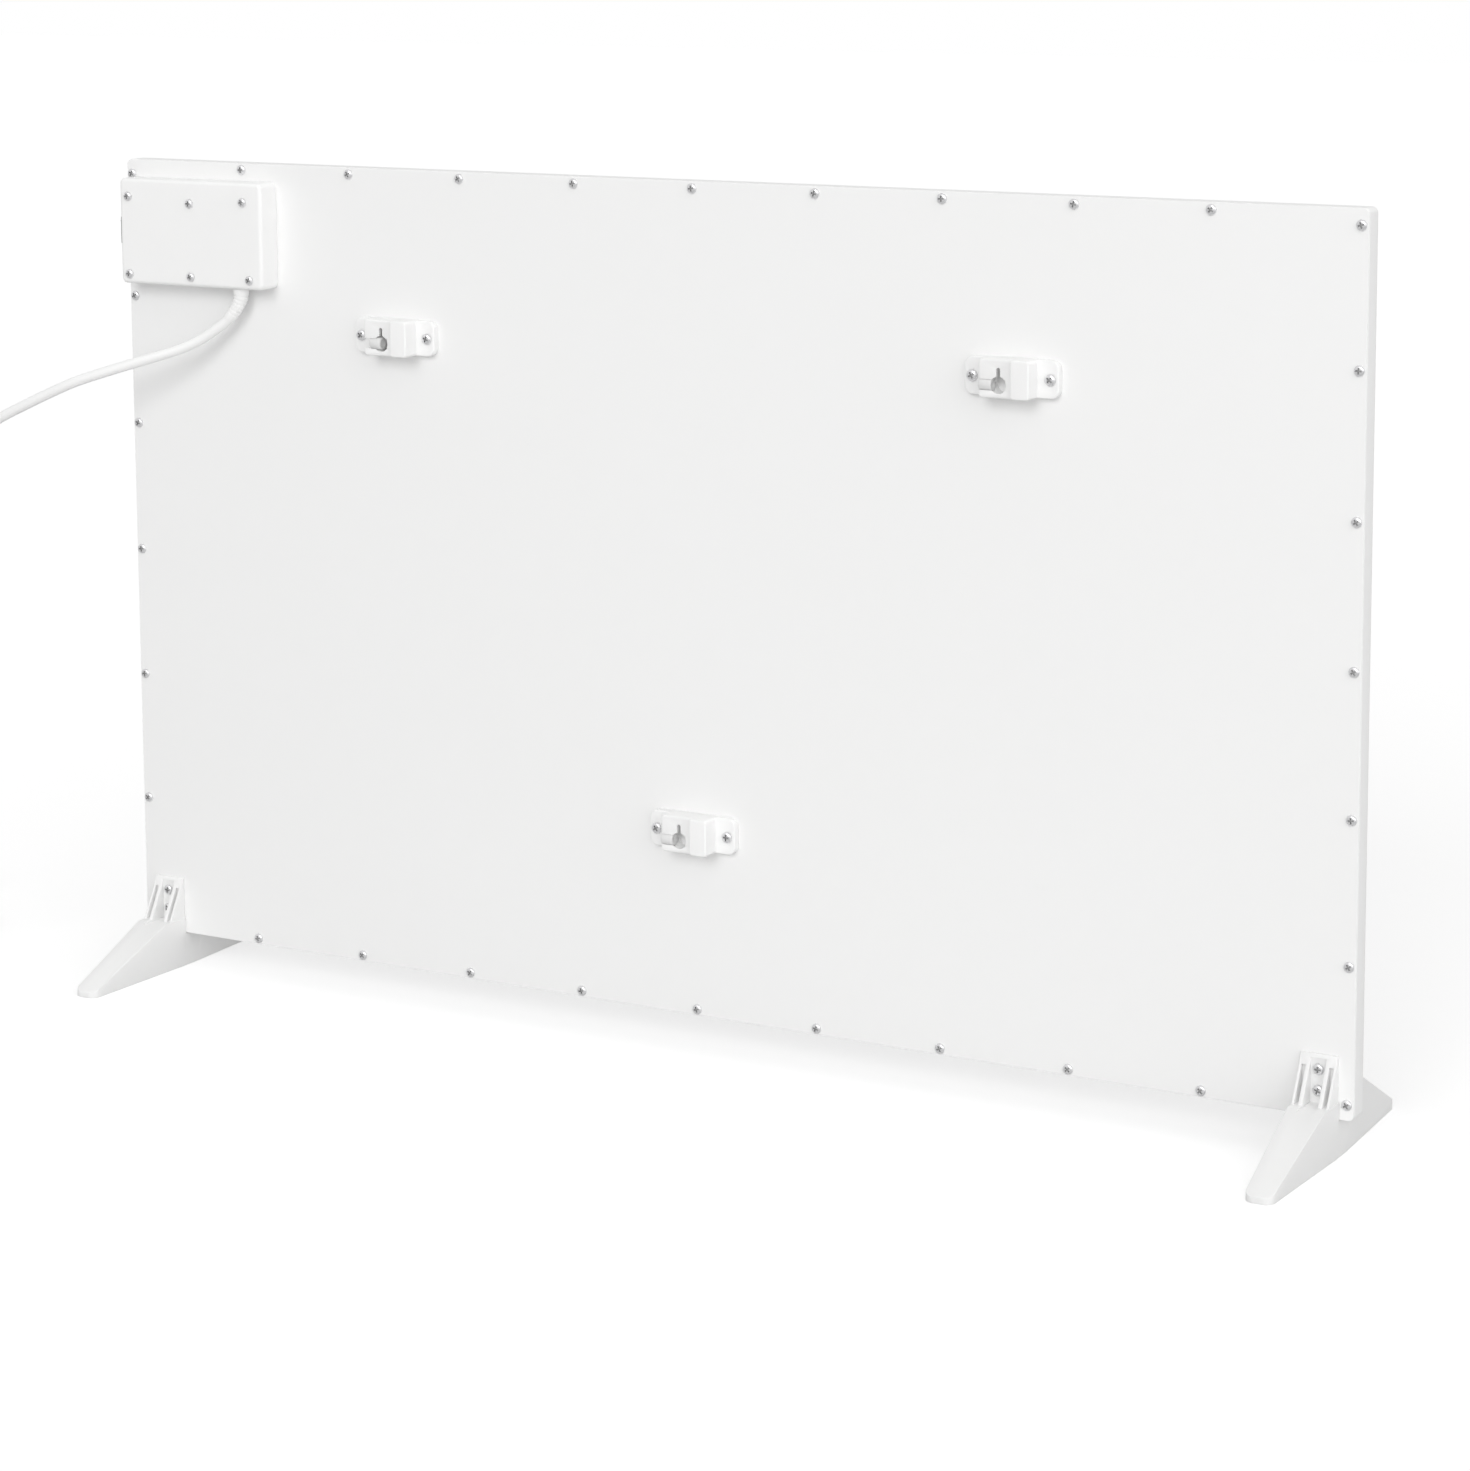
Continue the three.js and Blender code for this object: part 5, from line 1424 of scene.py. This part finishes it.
@dataclass
class ControlBox(ScrewedPart):
    """Moulded cover with its screws, the rocker switch and what the box holds, in millimetres.

    The switch's X is from its pivot, and its other pairs are half sizes across (Y) and up (Z).
    """

    plan: Plan = Plan((360.0, 492.5), (537.0, 617.0), 4.0, 0.8)
    y: Point2 = (5.0 + SEAM, 25.0)
    wall: float = 2.0
    edge: float = 3.0
    edge_steps: int = 10
    inner_edge: float = 1.0
    inner_lip: float = 0.2
    outer_lip: float = 0.25
    cord_hole: float = 5.5
    cord_at: Point2 = (387, 15)  # X and Y
    screw_hole: float = 1.8
    screw_places: tuple[Point2, ...] = (
        (484, 603.5), (426, 599.8), (376.6, 602.6), (484, 544.4), (426, 544.5), (371.5, 544.4),
    )
    box_screw: ScrewSize = ScrewSize(3.4, 1.9, 1.5, 11.0, seed=5)
    pivot: Point3 = (490.5, 15.0, 577.0)
    opening: Point2 = (6.8, 9.7)
    bezel: Point2 = (7.5, 10.5)
    bezel_x: Point2 = (2.3, 3.2)
    bezel_corner: float = 1.2
    bezel_edge: float = 0.6
    body: Point2 = (6.5, 9.4)
    body_x: Point2 = (-18.0, 2.6)
    well: Point2 = (5.2, 8.7)
    well_x: Point2 = (-4.8, 7.0)
    axle_hole: Point2 = (1.3, 7.5)  # radius and half length
    tab: Point2 = (2.0, 0.4)
    tab_x: Point2 = (-24.0, -17.0)
    tab_at: float = 5.0
    key_half: float = 4.9
    key_back: Point2 = (-3.0, 7.2)  # X from the pivot and half height
    key_end: Point2 = (4.4, 7.7)  # X from the pivot and half height
    key_middle: float = 3.2
    key_dish: float = 0.35
    key_steps: int = 12
    axle: Point2 = (1.0, 6.2)  # radius and half length
    housing_edge: float = 0.2
    key_edge: float = 0.25
    key_angle: float = 50.0
    cover_angle: float = 35.0
    tilt: float = 8.0

    def build(self) -> None:
        """Makes the cover, its screws and the switch, and dresses the inner pieces."""
        foot, face = self.y
        inside = face - self.wall
        rounding = reversed(quarter(self.inner_edge, 4))
        faces = [(self.wall + a, inside - b) for a, b in rounding]
        faces += [(self.wall, foot + self.inner_lip), (self.wall - self.inner_lip, foot)]
        faces += [(self.outer_lip, foot), (0.0, foot + self.outer_lip)]
        faces += [(a, face - b) for a, b in quarter(self.edge, self.edge_steps)]
        cover = loft("box_cover", [self.plan.ring(a, y) for a, y in faces])
        _, py, pz = self.pivot
        side, under = self.plan.x[1], self.plan.z[0]
        across, up = self.opening
        tools = [
            block((side - 2 * self.wall, side + OVERCUT), around(py, across), around(pz, up)),
            bar(self.cord_hole, (under - OVERCUT, under + 2 * self.wall), self.cord_at, Axis.Z, 48),
        ]
        through = (inside - OVERCUT, face + OVERCUT)
        tools += [bar(self.screw_hole, through, place, Axis.Y) for place in self.screw_places]
        combine(cover, tools, Join.CUT)
        self.add(soften(cover, angle=self.cover_angle), "white_moulding", ["control_box_cover"])

        spots = [(x, face + SEAT, z) for x, z in self.screw_places]
        names = [f"box_screw_{i}" for i in range(1, len(spots) + 1)]
        self.set_screws("cover_screws", spots, self.box_screw, names)
        self._housing()
        self._rocker()
        self.keep("white_moulding", "control_box_base")
        self.keep("circuit_board", "control_board")
        self.keep("relay_blue", "relay")
        self.keep("terminal_grey", "terminal_block")
        self.keep("white_cord", "cord_tail")
        self.keep("zinc", "base_screw_1", "base_screw_2")

    def _about_pivot(self, x: Point2, half: Point2, up: float = 0.0) -> tuple[Point2, Point2, Point2]:
        """Limits of a block of the switch: its X from the pivot, and its half sizes about it."""
        px, py, pz = self.pivot
        return (px + x[0], px + x[1]), around(py, half[0]), around(pz + up, half[1])

    def _housing(self) -> None:
        """Bezel and body of the switch, with the well that the rocker turns in."""
        px, py, pz = self.pivot
        x, y, z = self._about_pivot(self.bezel_x, self.bezel)
        bezel = pillow("switch_bezel", Plan(y, z, self.bezel_corner), x, self.bezel_edge, Axis.X)
        joined = [block(*self._about_pivot(self.body_x, self.body))]
        joined += [block(*self._about_pivot(self.tab_x, self.tab, side * self.tab_at)) for side in SIDES]
        combine(bezel, joined, Join.ADD)
        radius, half = self.axle_hole
        axle = bar(radius, around(py, half), (px, pz), Axis.Y)
        combine(bezel, [block(*self._about_pivot(self.well_x, self.well)), axle], Join.CUT)
        self.add(soften(bezel, self.housing_edge), "switch_black", ["switch_housing"])

    def _rocker(self) -> None:
        """Rocker, whose two faces are dished."""
        back, back_half = self.key_back
        end, half = self.key_end
        points = [(back, -back_half), (end, -half)]
        for i in range(self.key_steps + 1):
            z = -half + 2 * half * i / self.key_steps
            dish = self.key_dish * math.sin(math.pi * abs(z) / half)
            points.append((self.key_middle + (end - self.key_middle) * abs(z) / half - dish, z))
        points += [(end, half), (back, back_half)]
        key = prism("rocker_key", distinct(points), around(0.0, self.key_half), Axis.Y)
        radius, reach = self.axle
        combine(key, [bar(radius, around(0.0, reach), (0, 0), Axis.Y)], Join.ADD)
        soften(key, self.key_edge, angle=self.key_angle)
        key.data.transform(Matrix.Rotation(math.radians(self.tilt), 4, "Y"))
        shift(key, *self.pivot)
        self.add(key, "switch_black", ["switch_rocker"], "rocker")


def distinct(points: Iterable[Point2]) -> list[Point2]:
    """Points without those that fall on an earlier one."""
    return list(dict.fromkeys((round(a, 4), round(b, 4)) for a, b in points))


# ---------------------------------------------------------------------------
# Wall holders
# ---------------------------------------------------------------------------


@dataclass
class WallHolders(ScrewedPart):
    """Three moulded keyhole holders with their locking pins, in millimetres.

    A holder's own sizes are about its centre, and Y is 0 at the rear sheet. Three pairs are limits
    on X, Y and Z.
    """

    places: tuple[Point2, ...] = ((251.0, 507.0), (-251.0, 507.0), (0.0, 163.2))
    pushed: tuple[float, ...] = (5.0, 0.0, 0.0)
    rear: float = 5.0
    ears: Plan = Plan((-35.0, 35.0), (-13.0, 13.0), 6.0)
    high_step: Plan = Plan((-19.25, -5.2), (-13.25, 13.25), 2.5)
    low_step: Plan = Plan((-10.2, 19.25), (-13.25, 13.25), 2.5)
    ear_height: float = 6.0
    high_height: float = 20.0
    low_height: float = 17.2
    ear_edge: float = 1.0
    step_edge: float = 1.2
    socket: Point2 = (4.5, -4.3)
    socket_radius: float = 6.0
    slot_half: float = 1.5
    slot_top: float = 7.6
    slot_corner: float = 1.4
    lip_under: float = 13.2
    room: tuple[Point2, Point2, Point2] = ((-1.2, 10.2), (5.0, 14.2), (-4.3, 11.0))
    channel_radius: float = 5.0
    channel_x: Point2 = (-0.95, 20.25)
    channel_at: Point2 = (14.0, -4.3)
    groove: tuple[Point2, Point2, Point2] = ((4.5, 18.35), (7.4, 14.0), (-5.7, -2.9))
    pin_start: float = 9.55
    pin_profile: tuple[Point2, ...] = (
        (2.6, 0.25), (3.0, 0.0), (3.9, 0.0), (4.4, 0.3), (4.6, 0.9),
        (4.6, 8.8), (4.4, 9.4), (3.9, 9.7), (3.0, 9.7), (2.6, 9.45),
    )
    tongue: tuple[Point2, Point2, Point2] = ((5.4, 8.4), (7.8, 10.4), (-5.3, -3.3))
    screw_x: float = 29.0
    screw_hole: float = 1.9
    mould_edge: float = 0.35
    pin_edge: float = 0.15
    pin_angle: float = 50.0
    holder_screw: ScrewSize = ScrewSize(4.0, 2.1, 1.6, 7.8, seed=3)

    def build(self) -> None:
        """Makes each holder, its pin and the six screws."""
        for i, ((x, z), pushed) in enumerate(zip(self.places, self.pushed), 1):
            holder = self._holder(f"holder_{i}")
            pin = self._pin(f"pin_{i}_bar", self.pin_start - pushed)
            for piece in (holder, pin):
                shift(piece, x, self.rear, z)
            self.add(holder, "white_moulding", [f"wall_holder_{i}"])
            # The pin's finish is a darker copy of the white moulding, as painted shade.
            self.add(pin, "white_moulding", [f"lock_pin_{i}"], f"pin_{i}", "pin_moulding_painted_shade")
        y = self.rear + self.ear_height + SEAT
        spots = [(x - side * self.screw_x, y, z) for x, z in self.places for side in SIDES]
        names = [f"holder_screw_{i}" for i in range(1, len(spots) + 1)]
        self.set_screws("holder_screws", spots, self.holder_screw, names)

    def _holder(self, name: str) -> bpy.types.Object:
        """One holder about its centre."""
        body = pillow(name, self.ears, (SEAM, self.ear_height), self.ear_edge)
        steps = ((self.high_step, self.high_height), (self.low_step, self.low_height))
        combine(body, [pillow("tool", plan, (SEAM, top), self.step_edge) for plan, top in steps], Join.ADD)
        above = self.high_height + OVERCUT
        x, z = self.socket
        slot = rounded(around(x, self.slot_half), (z, self.slot_top), self.slot_corner)
        tools = [
            bar(self.socket_radius, (self.room[1][0], above), self.socket, Axis.Y, 64),
            prism("tool", slot, (self.lip_under, above), Axis.Y),
            block(*self.room),
            bar(self.channel_radius, self.channel_x, self.channel_at, Axis.X, 48),
            block(*self.groove),
        ]
        hole = (-OVERCUT, self.ear_height + OVERCUT)
        tools += [bar(self.screw_hole, hole, (side * self.screw_x, 0), Axis.Y) for side in SIDES]
        combine(body, tools, Join.CUT)
        return soften(body, self.mould_edge)

    def _pin(self, name: str, start: float) -> bpy.types.Object:
        """Pin along X, from a start, with the tongue that keeps it in its channel, and dished ends."""
        pin = turned(name, self.pin_profile, (start, *self.channel_at), Axis.X)
        x, y, z = self.tongue
        combine(pin, [block((start + x[0], start + x[1]), y, z)], Join.ADD)
        return soften(pin, self.pin_edge, angle=self.pin_angle)


# ---------------------------------------------------------------------------
# Feet
# ---------------------------------------------------------------------------


@dataclass
class Feet(ScrewedPart):
    """Two moulded feet that slip on the panel's lower edge, in millimetres."""

    x: float = 476.0  # of each foot, to both sides
    half_length: float = 114.0
    width: float = 28.0
    tip_width: float = 20.0
    tip_round: float = 7.0
    tip_height: float = 4.5
    middle: float = 9.0
    panel_front: float = -13.0 - SEAM
    panel_rear: float = 5.0 + SEAM
    panel_under: float = 25.7
    leg_start: float = 29.5
    leg_height: float = 38.0
    front_lip: float = 64.0
    front_leg: Point2 = (-39.4, 43.8)  # Y and Z of the corner that it falls from
    # Y and Z of the corners away from the panel, from below
    upstand: tuple[Point2, ...] = ((23.0, 34.0), (23.0, 37.7), (10.0, 61.5), (7.1, 69.7))
    upstand_half: float = 13.0
    well_half: float = 11.5
    well_length: float = 25.0
    well_top: float = 23.2
    ribs: tuple[float, ...] = (26, 46, 66, 84, 101)
    rib_half: float = 1.0
    skin: float = 2.5
    narrowing: float = 4.0 / 98  # of the hollows, for each millimetre from the middle
    recess_half: float = 5.5
    recess_z: Point2 = (36.5, 67.0)
    slot_half: float = 1.5
    slot_at: float = 9.8
    slot_z: Point2 = (38.0, 62.0)
    recess_y: Point2 = (7.5, 34.5)
    screw_heights: Point2 = (59.5, 45.0)
    screw_hole: float = 2.2
    screw_hole_y: Point2 = (4.0, 9.0)
    blank_half: float = 15.0
    blank_top: float = 70.0
    mould_edge: float = 0.5
    foot_screw: ScrewSize = ScrewSize(3.8, 2.0, 1.9, 4.4, seed=8)

    def build(self) -> None:
        """Makes both feet and their screws."""
        for i, side in enumerate(reversed(SIDES), 1):
            foot = self._foot(f"foot_moulding_painted_shade_{i}")
            shift(foot, side * self.x, 0, 0)
            # The feet's finish is a darker copy of the white moulding, as painted shade.
            self.add(foot, "white_moulding", [f"foot_{i}"], finish="foot_moulding_painted_shade")
        y = self.recess_y[0] + SEAT
        spots = [(side * self.x, y, z) for side in reversed(SIDES) for z in self.screw_heights]
        names = [f"foot_screw_{i}" for i in range(1, len(spots) + 1)]
        self.set_screws("foot_screws", spots, self.foot_screw, names)

    def _outline(self) -> list[Point2]:
        """Foot seen from above: widest under the panel, with two round tips."""
        half, r, start = self.width / 2, self.tip_round, self.half_length - self.tip_round
        offset = self.tip_width / 2 - r
        points = [(half, -self.middle), (half, self.middle)]
        points += arc(r, (offset, start), 0, 8) + arc(r, (-offset, start), 90, 8)
        points += [(-half, self.middle), (-half, -self.middle)]
        points += arc(r, (-offset, -start), 180, 8) + arc(r, (offset, -start), 270, 8)
        return distinct(points)

    def _leg_top(self, y: float) -> float:
        """Height of the lower leg's upper side at a distance from the middle."""
        share = max(0.0, (abs(y) - self.leg_start) / (self.half_length - self.leg_start))
        return self.leg_height + (self.tip_height - self.leg_height) * share

    def _side(self) -> list[Point2]:
        """Foot seen from its side: a leg each way, and the saddle that the panel stands in."""
        ends, tip = self.half_length, self.tip_height
        rear = [(self.leg_start, self.leg_height), (self.panel_rear, self.leg_height)]
        saddle = [(self.panel_rear, self.panel_under), (self.panel_front, self.panel_under)]
        front = [(self.panel_front, self.front_lip), self.front_leg]
        return [(-ends, 0), (ends, 0), (ends, tip), *rear, *saddle, *front, (-ends, tip)]

    def _hollows(self) -> list[bpy.types.Object]:
        """Rooms under the foot, between its ribs."""
        well = (-OVERCUT, self.well_top)
        rooms = [block(around(0.0, self.well_half), around(0.0, self.well_length), well)]
        for low, high in zip(self.ribs, self.ribs[1:]):
            near, far = low + self.rib_half, high - self.rib_half
            reach = self.well_half - self.narrowing * (far - self.middle)
            for side in SIDES:
                ends = [(side * y, self._leg_top(y) - self.skin) for y in (far, near)]
                room = [(side * near, -OVERCUT), (side * far, -OVERCUT), *ends]
                rooms.append(prism("tool", room, around(0.0, reach), Axis.X))
        return rooms

    def _foot(self, name: str) -> bpy.types.Object:
        """One foot about X = 0."""
        foot = prism(name, self._side(), around(0.0, self.blank_half), Axis.X)
        seen_above = prism("tool", self._outline(), (-OVERCUT, self.blank_top), Axis.Z)
        combine(foot, [seen_above], Join.KEEP_SHARED)
        low, top = self.upstand[0][1], self.upstand[-1][1]
        slope = [(self.panel_rear, low), *self.upstand, (self.panel_rear, top)]
        combine(foot, [prism("tool", slope, around(0.0, self.upstand_half), Axis.X)], Join.ADD)
        cuts = [block(around(0.0, self.recess_half), self.recess_y, self.recess_z)]
        for side in SIDES:
            cuts.append(block(around(side * self.slot_at, self.slot_half), self.recess_y, self.slot_z))
        cuts += [bar(self.screw_hole, self.screw_hole_y, (0, z), Axis.Y) for z in self.screw_heights]
        combine(foot, self._hollows() + cuts, Join.CUT)
        return soften(foot, self.mould_edge, 3)


# ---------------------------------------------------------------------------
# Whole heater
# ---------------------------------------------------------------------------


def main() -> None:
    """Builds the scene around the frame, piece by piece."""
    logging.basicConfig(level=logging.INFO, format="%(name)s: %(message)s")
    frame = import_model()
    studio = Studio()
    studio.set_camera()
    paint = Paint()
    nodes = frame["nodes"]
    MainsLead(nodes, paint).make_cord()
    studio.set_stage()
    screws = ScrewSetter()
    for sub_assembly in (Panel, ControlBox, WallHolders, Feet):
        sub_assembly(nodes, paint, screws).build()


if __name__ == "__main__":
    main()
